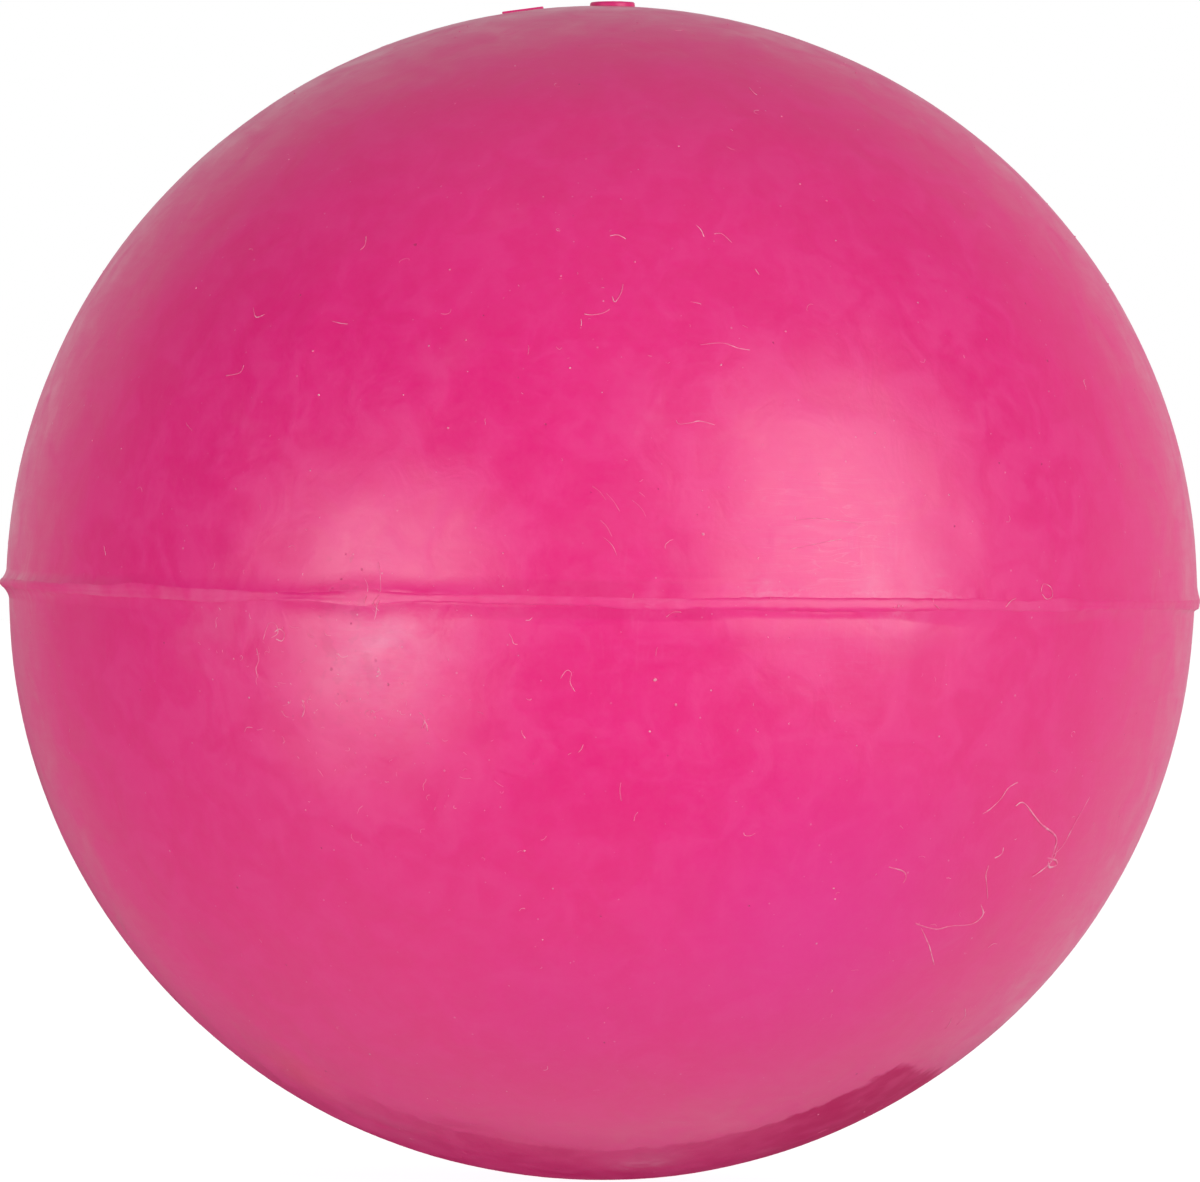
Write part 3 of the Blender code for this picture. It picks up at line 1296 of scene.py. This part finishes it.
@dataclass
class AirPlug:
    """The soft plug, cut by hand a little proud of the ball. Its outline is in shares of its tip."""

    finish: RubberFinish
    form: PlugForm = field(default_factory=PlugForm)
    segments: int = 96
    outline: tuple[tuple[float, float], ...] = (
        (0.35, 1.0), (0.70, 1.0), (0.88, 0.98), (0.95, 0.90), (0.985, 0.70), (1.0, 0.35),
    )
    wobble: float = 0.03
    wobble_pace: float = 12
    wobble_seed: float = 2.2
    lean: float = 0.45
    lean_start: float = 0.55
    roughness: float = 0.008 * MM
    rough_pace: float = 20
    rough_seed: float = 8

    def build(self) -> bpy.types.Mesh:
        """Builds the plug, from the trimmed tip to the head inside the ball.

        Returns:
            The closed mesh.
        """
        form = self.form
        head_top = form.boss_face - form.head_gap
        head_foot = head_top - form.head_thickness
        rings = [pole_point(FORM.pole + form.tip_height)]
        rings += [self._tip_ring(share, form.tip_height * height) for share, height in self.outline]
        rings.append(self._tip_ring(1.0, -form.tip_sink))
        for radius, level in (
            (form.root_radius, head_top), (form.head_radius, head_top), (form.head_radius, head_foot),
        ):
            rings.append(level_ring(radius, level, self.segments))
        rings.append(pole_point(head_foot))
        return skin_rings("air_plug_soft", rings)

    def _tip_ring(self, share: float, height: float) -> np.ndarray:
        """A ring of the tip: not quite round, and lower on the -X side, where the knife ran out.

        Args:
            share: Its radius, as a share of the tip's.
            height: How far it stands over the pole.

        Returns:
            Its points.
        """
        points = []
        for angle in steps_round(self.segments):
            wobble = self.wobble * wander(angle, self.wobble_pace, self.wobble_seed)
            radius = self.form.tip_radius * share * (1 + wobble)
            flat = flat_direction(angle)
            lean = 1 - self.lean * max(0.0, share - self.lean_start) * max(0.0, -flat.x)
            rough = self.roughness * wander(angle, self.rough_pace, self.rough_seed + share)
            points.append((radius * flat.x, radius * flat.y, FORM.pole + height * lean + rough))
        return np.array(points)

    def dress(self) -> None:
        """Adds the plug to the ball."""
        piece = settle("air_plug_soft", self.build(), self.finish.material())
        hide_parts("air_plug")


@dataclass
class RaisedBar:
    """The plain bar moulded beside the plug."""

    finish: RubberFinish
    distance: float = 4.5 * MM
    length: float = 2.1 * MM
    width: float = 0.9 * MM
    height: float = 0.09 * MM
    foot: float = 0.25 * MM
    edge: float = 0.07 * MM
    edge_cuts: int = 4
    edge_profile: float = 0.6

    def build(self) -> bpy.types.Mesh:
        """Builds the bar on the skin.

        Returns:
            The closed mesh.
        """
        editable = bmesh.new()
        bmesh.ops.create_cube(editable, size=1.0)
        size = Vector((self.length, self.width, self.height + self.foot))
        bmesh.ops.scale(editable, vec=size, verts=editable.verts)
        bmesh.ops.translate(editable, vec=(0, 0, self.height - size.z / 2), verts=editable.verts)
        sharp = editable.edges[:]
        bmesh.ops.bevel(
            editable, geom=sharp, offset=self.edge, segments=self.edge_cuts, affect="EDGES",
            profile=self.edge_profile,
        )
        bmesh.ops.subdivide_edges(editable, edges=editable.edges[:], cuts=2, use_grid_fill=True)
        direction = Vector((-self.distance, 0, math.sqrt(FORM.pole**2 - self.distance**2))).normalized()
        outward = FORM.outward(direction)
        along = Vector((0, 1, 0)).cross(outward).normalized()
        basis = Matrix((along, outward.cross(along), outward)).transposed().to_4x4()
        editable.transform(Matrix.Translation(FORM.surface(direction)) @ basis)
        return smooth_mesh("raised_bar", editable)

    def dress(self) -> None:
        """Adds the bar to the ball."""
        settle("raised_bar", self.build(), self.finish.material())


@dataclass
class SeamRidge:
    """The cement between the cups: the crest outside, the web between the rims, the bead inside."""

    finish: RubberFinish
    segments: int = 1440
    crest_rows: int = 20
    furrow_place: float = -0.1
    furrow_width: float = 0.25
    crease_width: float = 0.16
    ripple: float = 0.007 * MM
    ripple_scale: float = 60.0
    ripple_stretch: float = 1.5
    skin_unevenness: float = 0.25
    sink: float = 0.35 * MM
    web: float = 0.15 * MM
    root_lap: float = 0.4 * MM
    bead_sink: float = 0.6 * MM
    bead_rows: int = 8
    bead_height: float = 0.7 * MM
    bead_half: float = 0.85 * MM

    def crest_point(self, angle: float, across: float) -> Vector:
        """A point of the crest.

        Args:
            angle: Degrees round the ball.
            across: -1 at the crest's lower edge, 1 at its upper edge.

        Returns:
            The point.
        """
        section = seam_at(angle)
        flat = flat_direction(angle)
        upper = FORM.upper_rim + section.upper.full_rise
        lower = FORM.lower_rim + section.lower.full_rise
        base = lower + (upper - lower) * (1 + across) / 2
        dome = section.crest * (1 - abs(across) ** section.corner)
        furrow = section.furrow * math.exp(-(((across - self.furrow_place) / self.furrow_width) ** 2))
        stretch = Vector((0, 0, across * self.ripple_stretch))
        ripple = self.ripple * noise.noise(flat * self.ripple_scale + stretch)
        side = Side.UPPER if across > 0 else Side.LOWER
        crease = section.flank(side).groove * math.exp(-(((1 - abs(across)) / self.crease_width) ** 2))
        radius = base + dome - furrow + ripple - crease + FORM.unevenness(flat) * self.skin_unevenness
        return flat * radius + Vector((0, 0, section.centre + section.half * across))

    def build(self) -> bpy.types.Mesh:
        """Builds the ring.

        Returns:
            The closed mesh.
        """
        angles = steps_round(self.segments)
        rings = []
        for step in range(self.crest_rows + 1):
            across = math.sin(math.pi * (step / self.crest_rows - 0.5))
            rings.append(np.array([self.crest_point(angle, across) for angle in angles]))
        outer = FORM.lower_rim - self.sink
        root = FORM.lower_rim - FORM.wall + self.root_lap
        shoulder = root - self.bead_sink
        inside = [(outer, self.web), (root, self.web)]
        for step in range(self.bead_rows + 1):
            turn = math.pi * (0.5 - step / self.bead_rows)
            inside.append((shoulder - self.bead_height * math.cos(turn), self.bead_half * math.sin(turn)))
        inside += [(root, -self.web), (outer, -self.web)]
        rings += [level_ring(radius, height, self.segments) for radius, height in inside]
        return skin_rings("seam_ridge", rings)

    def dress(self) -> None:
        """Adds the ridge to the ball."""
        piece = settle("seam_ridge", self.build(), self.finish.material())
        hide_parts("seam_ring")


@dataclass(frozen=True)
class Strand:
    """A fibre that lies on the skin along a route of pixels. Its thickness is in millimetres."""

    thickness: float
    route: tuple[Pixel, ...]


@dataclass(frozen=True)
class Nest:
    """A patch of the ball that has gathered more curls than the rest. Its reach is in millimetres."""

    pixel: Pixel
    reach: float
    curls: int


LIFT_SEED = Vector((3, 5, 7))
POLE_MARGIN = 0.985


@dataclass
class Lint:
    """Loose fibres and crumbs that cling to the rubber: known ones in front, and chance ones all over."""

    strands: tuple[Strand, ...]
    nests: tuple[Nest, ...]
    known_crumbs: tuple[tuple[float, float, float], ...]
    finish: FibreFinish = field(default_factory=FibreFinish)
    curls: int = 300
    crumbs: int = 220
    curl_length: Band = (0.12 * MM, 0.75 * MM)
    curl_thickness: Band = (0.014 * MM, 0.026 * MM)
    curl_bend: float = 1.6
    curl_swing: float = 7.0
    curl_swing_pace: float = 0.33
    curl_seeds: float = 900
    long_curl_rarity: float = 2.6
    crumb_radius: Band = (0.025 * MM, 0.055 * MM)
    crumb_swell: float = 0.5
    crumb_flattening: float = 0.35
    crumb_lobes: float = 1.1
    crumb_scatter: float = 900
    width_middle: float = 1.25
    width_swing: float = 0.8
    width_scale: float = 2400
    tip_width: float = 0.3
    flatness: float = 0.5
    lift_middle: float = 0.10
    lift_swing: float = 0.55
    lift_scale: float = 1100
    route_steps: int = 6
    steps: int = 14
    sides: int = 5
    seed: int = 11

    @staticmethod
    def _rest(direction: Vector) -> Vector:
        """The point of the skin, the flare or the ridge in a direction."""
        return FORM.surface(direction) + direction * seam_stands_out(direction)

    def _tube(self, editable: bmesh.types.BMesh, points: Sequence[Vector], thickness: float) -> None:
        """Adds a closed, flattened tube that dips in and out of the skin's grain.

        Args:
            editable: The mesh that it joins.
            points: The fibre's course, on the skin.
            thickness: Its mean thickness.
        """
        rings = []
        last = len(points) - 1
        for step, point in enumerate(points):
            along = (points[min(step + 1, last)] - points[max(step - 1, 0)]).normalized()
            outward = FORM.outward(point.normalized())
            sideways = along.cross(outward).normalized()
            uneven = self.width_middle + self.width_swing * noise.noise(point * self.width_scale)
            radius = thickness / 2 * uneven * (self.tip_width if step in (0, last) else 1.0)
            lift = self.lift_middle + self.lift_swing * noise.noise(point * self.lift_scale + LIFT_SEED)
            centre = point + outward * radius * lift
            ring = []
            for side in range(self.sides):
                turn = math.tau * side / self.sides
                offset = sideways * math.cos(turn) + outward * math.sin(turn) * self.flatness
                ring.append(editable.verts.new(centre + offset * radius))
            rings.append(ring)
        for low, high in zip(rings, rings[1:]):
            for side in range(self.sides):
                after = (side + 1) % self.sides
                editable.faces.new((low[side], low[after], high[after], high[side]))
        editable.faces.new(rings[0][::-1])
        editable.faces.new(rings[-1])

    def _crumb(self, editable: bmesh.types.BMesh, direction: Vector, radius: float) -> None:
        """Adds a small uneven lump that is half sunk in the skin's grain.

        Args:
            editable: The mesh that it joins.
            direction: Where on the ball it sits.
            radius: Its mean radius.
        """
        place = self._rest(direction)
        made = bmesh.ops.create_icosphere(editable, subdivisions=2, radius=radius)
        for vert in made["verts"]:
            spot = vert.co / radius * self.crumb_lobes + place * self.crumb_scatter
            swell = 1 + self.crumb_swell * noise.noise(spot)
            flat = vert.co * swell
            flat -= direction * direction.dot(flat) * self.crumb_flattening
            vert.co = place + flat

    def _smooth_route(self, route: Sequence[Pixel]) -> list[Vector]:
        """A smooth curve on the skin.

        Args:
            route: The pixels that it passes through.

        Returns:
            Its points.
        """
        padded = [route[0], *route, route[-1]]
        points = []
        for corners in zip(padded, padded[1:], padded[2:], padded[3:]):
            for step in range(self.route_steps):
                t = step / self.route_steps
                pixel = tuple(between(*values, t) for values in zip(*corners))
                points.append(self._rest(VIEW.direction(pixel)))
        points.append(self._rest(VIEW.direction(route[-1])))
        return points

    @staticmethod
    def _anywhere(chance: random.Random) -> Vector:
        """A chance direction, spread evenly over the ball.

        Args:
            chance: The seeded source of chance.

        Returns:
            A unit vector.
        """
        height = chance.uniform(-POLE_MARGIN, POLE_MARGIN)
        turn = chance.uniform(0, math.tau)
        level = math.sqrt(1 - height**2)
        return Vector((level * math.cos(turn), level * math.sin(turn), height))

    def _curl(self, chance: random.Random, direction: Vector) -> list[Vector]:
        """A short fibre whose bend changes along it: a hook, a wave or, now and then, a ring.

        Args:
            chance: The seeded source of chance.
            direction: Where on the ball it starts.

        Returns:
            Its points.
        """
        side = direction.orthogonal().normalized()
        other = direction.cross(side)
        shortest, longest = self.curl_length
        length = shortest + (longest - shortest) * chance.random() ** self.long_curl_rarity
        heading = chance.uniform(0, math.tau)
        bend = chance.gauss(0, self.curl_bend)
        seed = chance.uniform(0, self.curl_seeds)
        place = direction * FORM.upper_rim
        points = []
        for step in range(self.steps + 1):
            points.append(self._rest(place.normalized()))
            swing = self.curl_swing * noise.noise(Vector((step * self.curl_swing_pace, seed, 0.5)))
            heading += (bend + swing) / self.steps
            place = place + (side * math.cos(heading) + other * math.sin(heading)) * (length / self.steps)
        return points

    def build(self) -> bpy.types.Mesh:
        """Builds every fibre and crumb.

        Returns:
            One mesh of closed bodies.
        """
        editable = bmesh.new()
        for strand in self.strands:
            self._tube(editable, self._smooth_route(strand.route), strand.thickness * MM)
        chance = random.Random(self.seed)
        places = [self._anywhere(chance) for _ in range(self.curls)]
        for nest in self.nests:
            middle = VIEW.direction(nest.pixel)
            spread = nest.reach * MM / FORM.upper_rim
            for _ in range(nest.curls):
                drift = Vector((chance.gauss(0, spread), chance.gauss(0, spread), chance.gauss(0, spread)))
                places.append((middle + drift).normalized())
        for place in places:
            self._tube(editable, self._curl(chance, place), chance.uniform(*self.curl_thickness))
        for column, row, radius in self.known_crumbs:
            self._crumb(editable, VIEW.direction((column, row)), radius * MM)
        smallest, largest = self.crumb_radius
        for _ in range(self.crumbs):
            radius = smallest + chance.random() ** 2 * (largest - smallest)
            self._crumb(editable, self._anywhere(chance), radius)
        return smooth_mesh("lint", editable)

    def dress(self) -> None:
        """Adds the lint to the ball."""
        settle("lint", self.build(), self.finish.material())


@dataclass(frozen=True)
class SoftBox:
    """A soft light panel that faces the ball. Azimuth is in degrees to the right of the camera."""

    name: str
    azimuth: float
    elevation: float
    width: float
    height: float
    power: float
    distance: float = 0.6

    def place(self) -> None:
        """Makes the light."""
        data = bpy.data.lights.new(self.name, "AREA")
        data.shape = "RECTANGLE"
        data.size = self.width
        data.size_y = self.height
        data.energy = self.power
        lamp = add_object(self.name, data)
        turn = math.radians(self.azimuth)
        rise = math.radians(self.elevation)
        spot = Vector((math.sin(turn) * math.cos(rise), -math.cos(turn) * math.cos(rise), math.sin(rise)))
        lamp.location = spot * self.distance
        lamp.rotation_euler = spot.to_track_quat("Z", "Y").to_euler()


@dataclass(frozen=True)
class Glow:
    """A soft paler or darker spot of the surroundings, round a direction from the ball."""

    direction: tuple[float, float, float]
    reach: float
    strength: float


@dataclass(frozen=True)
class PaintedShadowShape:
    """Painted shade: a dark shape in the surroundings, low behind the ball, in place of the ball's shadow on
    the floor, by direction from the ball.
    """

    near: Band = (-0.70, -0.63)
    bow: float = 1.4
    right: Band = (0.08, 0.02)
    slant: float = 0.55
    left: Band = (-0.42, -0.12)
    behind: Band = (0.15, 0.45)
    top: Band = (0.0, -0.06)

    def mask(self, across: Wire, away: Wire, high: Wire) -> Wire:
        """Where the painted shadow is.

        Args:
            across: How far a direction points to the right.
            away: How far it points away from the camera.
            high: How far it points up.

        Returns:
            1 inside the shape and 0 outside it.
        """
        near_side = (high - across * across * self.bow).rise(*self.near)
        right_side = (across + high * self.slant).rise(*self.right)
        sides = near_side * right_side * across.rise(*self.left)
        return sides * away.rise(*self.behind) * high.rise(*self.top)


@dataclass
class Studio:
    """Floor, soft lights, surroundings and camera."""

    boxes: tuple[SoftBox, ...] = (
        SoftBox("left_soft_box", azimuth=-42, elevation=5, width=0.36, height=0.29, power=1.0),
        SoftBox("left_low_soft_box", azimuth=-45, elevation=-18, width=0.33, height=0.22, power=0.60),
        SoftBox("left_bright_box", azimuth=-42, elevation=-8, width=0.12, height=0.08, power=0.24),
        SoftBox("right_soft_box", azimuth=46, elevation=13, width=0.46, height=0.52, power=2.32),
    )
    glows: tuple[Glow, ...] = (
        Glow((0.16, -0.86, 0.48), 0.55, 0.14),
        Glow((0.80, 0.15, -0.40), 0.90, 0.24),
        Glow((0.05, 0.68, -0.73), 0.45, 0.30),
        Glow((-0.75, 0.05, -0.62), 0.80, 0.28),
        Glow((0.80, -0.45, -0.30), 0.75, 0.30),
        Glow((0.02, -0.99, 0.06), 0.55, 0.12),
        Glow((-0.70, -0.30, 0.62), 0.75, -0.09),
    )
    painted_floor_shadow: PaintedShadowShape = field(default_factory=PaintedShadowShape)
    in_front: float = 0.18
    behind: float = 0.80
    above: float = 0.37
    below: float = 0.62
    left_band: Band = (0.18, 1.20)
    left_low_share: float = 0.6
    left_level_band: Band = (-0.12, 0.12)
    right_band: Band = (-0.15, 1.45)
    right_slant: Vector = field(default_factory=lambda: Vector((0.15, -0.35)))
    middle_band: Band = (-0.2, 0.2)
    up_band: Band = (0.6, 0.95)
    down_band: Band = (-0.5, -0.98)
    floor_size: float = 4.0
    floor_gap: float = 0.06 * MM

    def set_surroundings(self) -> None:
        """A white room that is plain white to the camera.

        It is bright behind the ball and dim behind the camera. Low behind the ball it has painted shade, a
        dark shape in place of the ball's shadow on the floor, which the ball's underside reflects.
        """
        world = bpy.data.worlds.new("studio")
        bpy.context.scene.world = world
        world.use_nodes = True
        bench = Bench(world.node_tree)
        direction = bench.node("ShaderNodeTexCoord", {}, {}).outputs["Generated"]
        across, away, high = bench.axes(direction)
        lit_share = self.left_low_share + (1 - self.left_low_share) * high.rise(*self.left_level_band)
        left_back = away.rise(*self.left_band) * lit_share
        right_back = (away + across * self.right_slant.x + high * self.right_slant.y).rise(*self.right_band)
        back = left_back + across.rise(*self.middle_band) * (right_back - left_back)
        up = high.rise(*self.up_band)
        down = high.rise(*self.down_band)
        level = (self.in_front + back * (self.behind - self.in_front)) * (1 - up - down)
        level = level + up * self.above + down * self.below
        for glow in self.glows:
            level = level + bench.near(direction, Vector(glow.direction), glow.reach) * glow.strength
        # Painted shade: the surroundings go dark low behind the ball, where the ball's shadow on the floor
        # would be.
        level = level * (1 - self.painted_floor_shadow.mask(across, away, high))
        dark, white = (
            bench.node("ShaderNodeBackground", {}, {"Color": rgba((tone,) * 3)}).outputs[0]
            for tone in (0.0, 1.0)
        )
        to_camera = Wire(bench, bench.node("ShaderNodeLightPath", {}, {}).outputs["Is Camera Ray"])
        surface = bench.mixed(to_camera, bench.mixed(level, dark, white), white)
        bench.node("ShaderNodeOutputWorld", {}, {"Surface": surface})

    def lay_floor(self) -> None:
        """Lays the floor under the ball's lowest point."""
        editable = bmesh.new()
        bmesh.ops.create_grid(editable, x_segments=1, y_segments=1, size=self.floor_size / 2)
        bmesh.ops.translate(editable, vec=(0, 0, -FORM.pole - self.floor_gap), verts=editable.verts)
        mesh = bpy.data.meshes.new("floor")
        editable.to_mesh(mesh)
        editable.free()
        mesh.materials.append(FloorFinish().material())
        add_object("floor", mesh)

    def dress(self) -> None:
        """Sets up the whole studio."""
        self.set_surroundings()
        self.lay_floor()
        for box in self.boxes:
            box.place()
        VIEW.place_camera()
        bpy.context.scene.view_settings.view_transform = "Standard"


# What is on this ball, in pixels of the photograph

UPPER_RUBBER = RubberFinish(
    "upper_cup_rubber",
    {
        # Pale bloom patches; the mark at the left highlight's edge is painted highlight.
        Trait.BLOOM: marks(
            (450, 350, 2.2, 0.16), (245, 423, 1.8, 0.16), (505, 217, 1.6, 0.14), (905, 570, 3.5, 0.12),
            (625, 520, 5.0, 0.08), (650, 415, 4.0, 0.10), (570, 560, 3.0, 0.08), (225, 570, 2.2, 0.12),
            (950, 580, 2.2, 0.14), (1045, 575, 2.5, 0.10), (667, 562, 2.2, 0.16), (770, 588, 1.0, 0.25),
            (870, 588, 1.6, 0.30), (925, 588, 1.4, 0.30),
        ),
        Trait.FRINGE: marks((780, 590, 3.0, 0.6), (870, 590, 3.0, 0.55), (950, 590, 1.8, 0.5)),
        # Painted shade in the flare above the seam.
        Trait.TRIM: marks((520, 588, 3.0, 0.4), (595, 588, 3.4, 0.6), (670, 588, 2.4, 0.2)),
        Trait.SCUFF: marks(
            (760, 592, 1.5, 0.9), (880, 593, 1.8, 0.4), (935, 593, 1.6, 0.9), (815, 582, 1.2, 0.5),
            (380, 560, 1.6, 0.4),
        ),
        Trait.SCRATCH: marks((830, 530, 6.5, 1.3), (700, 440, 8.0, 0.3)),
        Trait.STREAK: marks((870, 548, 3.2, 0.7), (620, 560, 2.5, 0.3)),
        Trait.DUST: marks((600, 300, 5.0, 0.35), (340, 560, 5.0, 0.5)),
        Trait.GRIME: marks((350, 572, 2.2, 1.0), (345, 560, 1.2, 0.8)),
    },
)
LOWER_RUBBER = RubberFinish(
    "lower_cup_rubber",
    {
        # Pale bloom patches; the marks in and beside the left highlight below the seam are painted highlight.
        Trait.BLOOM: marks(
            (330, 665, 7.0, 0.10), (653, 1163, 3.0, 0.5), (775, 1148, 1.8, 0.5), (390, 1125, 5.0, 0.3),
            (905, 624, 2.6, 0.22), (205, 614, 4.6, 0.26), (375, 640, 4.6, 0.26), (385, 645, 1.6, 0.25),
            (325, 668, 1.8, 0.15), (435, 632, 2.8, 0.42),
        ),
        Trait.FRINGE: marks((897, 612, 1.2, 0.6), (660, 612, 2.0, 0.3)),
        # Painted shade in the flare below the seam.
        Trait.TRIM: marks((520, 612, 3.0, 0.4), (600, 612, 3.6, 0.5), (690, 612, 2.6, 0.5)),
        Trait.SCUFF: marks(
            (897, 608, 0.5, 1.0), (370, 640, 3.4, 0.55), (380, 700, 4.5, 0.30), (640, 1164, 3.0, 0.9),
            (775, 1149, 1.6, 0.9),
        ),
        Trait.SCRATCH: marks((830, 650, 6.0, 0.5), (380, 650, 6.0, 0.4)),
        Trait.STREAK: marks((630, 640, 4.5, 0.45), (860, 640, 4.0, 0.4)),
        Trait.DUST: marks((350, 690, 8.5, 0.75), (960, 930, 6.0, 0.3)),
        Trait.GRIME: marks(
            (350, 650, 3.8, 0.75), (345, 608, 1.6, 1.0), (320, 700, 5.0, 0.4), (1186, 604, 0.8, 1.0),
        ),
        # Painted reflection of an orange thing, near the bottom-left edge.
        Trait.STAIN: marks((300, 1075, 3.2, 0.30)),
        Trait.VIOLET: marks((820, 930, 13.0, 0.55), (560, 1010, 8.0, 0.25)),
    },
    shift=(31.0, 17.0, 5.0),
    # Painted shade near the lower pole, in place of the reflected shadow under the ball.
    painted_shade=PaintedShadePatch(),
)
SEAM_RUBBER = RubberFinish(
    "seam_rubber",
    {
        # Pale bloom on the crest, partly painted highlight where the rounded crest catches the light.
        Trait.BLOOM: marks(
            (95, 590, 5.0, 0.32), (160, 592, 4.0, 0.30), (215, 596, 4.0, 0.20), (478, 598, 2.0, 0.24),
            (520, 599, 3.0, 0.15), (580, 601, 3.0, 0.16), (650, 604, 3.0, 0.30), (1015, 607, 2.2, 0.06),
            (192, 594, 1.6, 0.10), (1050, 606, 5.0, 0.18),
        ),
        Trait.SCUFF: marks(
            (350, 596, 1.6, 0.6), (640, 604, 1.4, 0.7), (760, 604, 1.4, 0.5), (900, 606, 0.9, 1.0),
        ),
        Trait.GRIME: marks((350, 600, 1.6, 1.0)),
    },
    shift=(7.0, 3.0, 11.0),
    roughness=0.42,
)
PLUG_RUBBER = RubberFinish("plug_rubber", shift=(2.0, 9.0, 4.0), roughness=0.50)

STRANDS = (
    Strand(0.075, ((1017, 807), (1026, 804), (1042, 824), (1058, 838), (1054, 857), (1052, 863))),
    Strand(0.07, ((1060, 846), (1056, 858), (1050, 866), (1041, 873), (1033, 878))),
    Strand(0.055, ((1092, 798), (1078, 822), (1065, 846), (1055, 856))),
    Strand(0.10, ((1049, 859), (1057, 861), (1058, 866), (1051, 868), (1050, 862))),
    Strand(0.07, ((1005, 848), (1003, 855), (996, 859))),
    Strand(0.05, ((990, 866), (987, 876), (988, 886), (989, 900))),
    Strand(0.045, ((982, 905), (984, 916), (972, 925), (950, 927), (937, 930), (921, 926), (916, 924))),
    Strand(0.04, ((922, 929), (930, 947), (935, 966))),
    Strand(0.045, ((1020, 783), (1010, 789), (1002, 800), (992, 810), (984, 815))),
    Strand(0.04, ((890, 868), (904, 872), (907, 878), (904, 884))),
    Strand(0.04, ((953, 1019), (950, 1026), (946, 1030))),
    Strand(0.04, ((966, 1009), (966, 1018), (957, 1027))),
    Strand(0.05, ((749, 87), (753, 92), (757, 95))),
    Strand(0.035, ((700, 345), (722, 343), (738, 348), (750, 350))),
    Strand(0.038, ((610, 236), (618, 235), (626, 239))),
    Strand(0.038, ((584, 314), (592, 315), (603, 313), (610, 309))),
    Strand(0.038, ((612, 296), (615, 302), (621, 293), (623, 284))),
    Strand(0.038, ((581, 319), (581.5, 323), (581, 326))),
    Strand(0.05, ((755, 269), (757, 272), (759, 275))),
    Strand(0.038, ((696, 225), (701, 230), (704, 237))),
    Strand(0.038, ((714, 234), (722, 234), (732, 243))),
    Strand(0.038, ((676, 420), (679, 424), (690, 423), (700, 421), (715, 425))),
    Strand(0.038, ((366, 236), (365, 245), (360, 250))),
    Strand(0.038, ((253, 307), (256, 317), (265, 314))),
    Strand(0.038, ((226, 376), (240, 373), (244, 365))),
    Strand(0.038, ((332, 321), (340, 323), (348, 324))),
    Strand(0.038, ((521, 731), (522, 735), (525, 739))),
    Strand(0.038, ((578, 753), (581, 750), (583, 745))),
    Strand(0.038, ((621, 783), (620, 792), (621.5, 802))),
    Strand(0.038, ((634, 822), (635, 817), (638, 813))),
    Strand(0.038, ((274, 632), (279, 629), (284, 634), (281, 641), (275, 639))),
    Strand(0.038, ((255, 648), (257, 660), (254, 669), (256, 678))),
    Strand(0.038, ((300, 705), (303, 711), (300, 718))),
    Strand(0.038, ((420, 718), (425, 724), (427, 732))),
    Strand(0.035, ((378, 562), (380, 572), (381, 583), (382, 592))),
    Strand(0.035, ((381, 600), (378, 607), (376, 615), (374, 620))),
    Strand(0.03, ((932, 598), (933, 604), (938, 609))),
    Strand(0.018, ((592, 486), (599, 491), (606, 500))),
    Strand(0.018, ((606, 493), (614, 502), (620, 512))),
    Strand(0.018, ((600, 520), (607, 527), (612, 537))),
    Strand(0.018, ((603, 537), (612, 545), (617, 556))),
    Strand(0.016, ((632, 500), (641, 508), (646, 517))),
    Strand(0.016, ((639, 492), (645, 497))),
    Strand(0.026, ((796, 516), (797, 520), (820, 518), (862, 524))),
    Strand(0.024, ((790, 549), (830, 541), (842, 539))),
    Strand(0.03, ((560, 679), (566, 671), (571, 673), (570, 683), (575, 692))),
    Strand(0.04, ((418, 713), (424, 719), (421, 729))),
    Strand(0.05, ((300, 700), (303, 708), (301, 715))),
    Strand(0.026, ((262, 640), (268, 624), (275, 624), (277, 633), (270, 638))),
    Strand(0.022, ((371, 585), (381, 592), (375, 603), (380, 611))),
    Strand(0.02, ((364, 577), (369, 588), (366, 604))),
    Strand(0.035, ((1040, 592), (1043, 584), (1050, 587), (1051, 596), (1045, 599), (1041, 594))),
    Strand(0.04, ((1004, 607), (1009, 601), (1015, 598))),
    Strand(0.03, ((666, 617), (673, 612), (681, 612))),
    Strand(0.06, ((377, 668), (379, 674), (375, 677))),
)
NESTS = (
    Nest((350, 700), 3.6, 70),
    Nest((280, 650), 2.4, 24),
    Nest((430, 760), 3.0, 24),
    Nest((600, 300), 3.2, 18),
    Nest((960, 930), 3.0, 14),
)
CRUMBS = (
    (635, 262, 0.055), (561, 276, 0.055), (721, 365, 0.055), (570, 368, 0.055), (196, 288, 0.055),
    (466, 340, 0.055), (448, 428, 0.055), (319, 395, 0.055), (313, 351, 0.055), (676, 705, 0.07),
    (650, 732, 0.055), (524, 852, 0.055), (703, 534, 0.075), (503, 553, 0.05), (374, 718, 0.06),
    (377, 672, 0.06), (401, 684, 0.045), (374, 736, 0.055), (302, 702, 0.05), (282, 628, 0.045),
    (232, 659, 0.045), (655.5, 680, 0.095), (434, 586, 0.03), (474, 588, 0.03), (503, 586, 0.035),
    (528, 590, 0.03), (432, 609, 0.03), (457, 610, 0.03), (893, 607, 0.04), (897, 606, 0.06),
    (901, 606, 0.04), (770, 598, 0.03), (621, 632, 0.03),
)


def main() -> None:
    """Builds and dresses the ball, then the studio."""
    logging.basicConfig(level=logging.INFO)
    Cup(Side.UPPER, UPPER_RUBBER).dress()
    Cup(Side.LOWER, LOWER_RUBBER).dress()
    SeamRidge(SEAM_RUBBER).dress()
    AirPlug(PLUG_RUBBER).dress()
    RaisedBar(UPPER_RUBBER).dress()
    Lint(STRANDS, NESTS, CRUMBS).dress()
    Studio().dress()


if __name__ == "__main__":
    main()
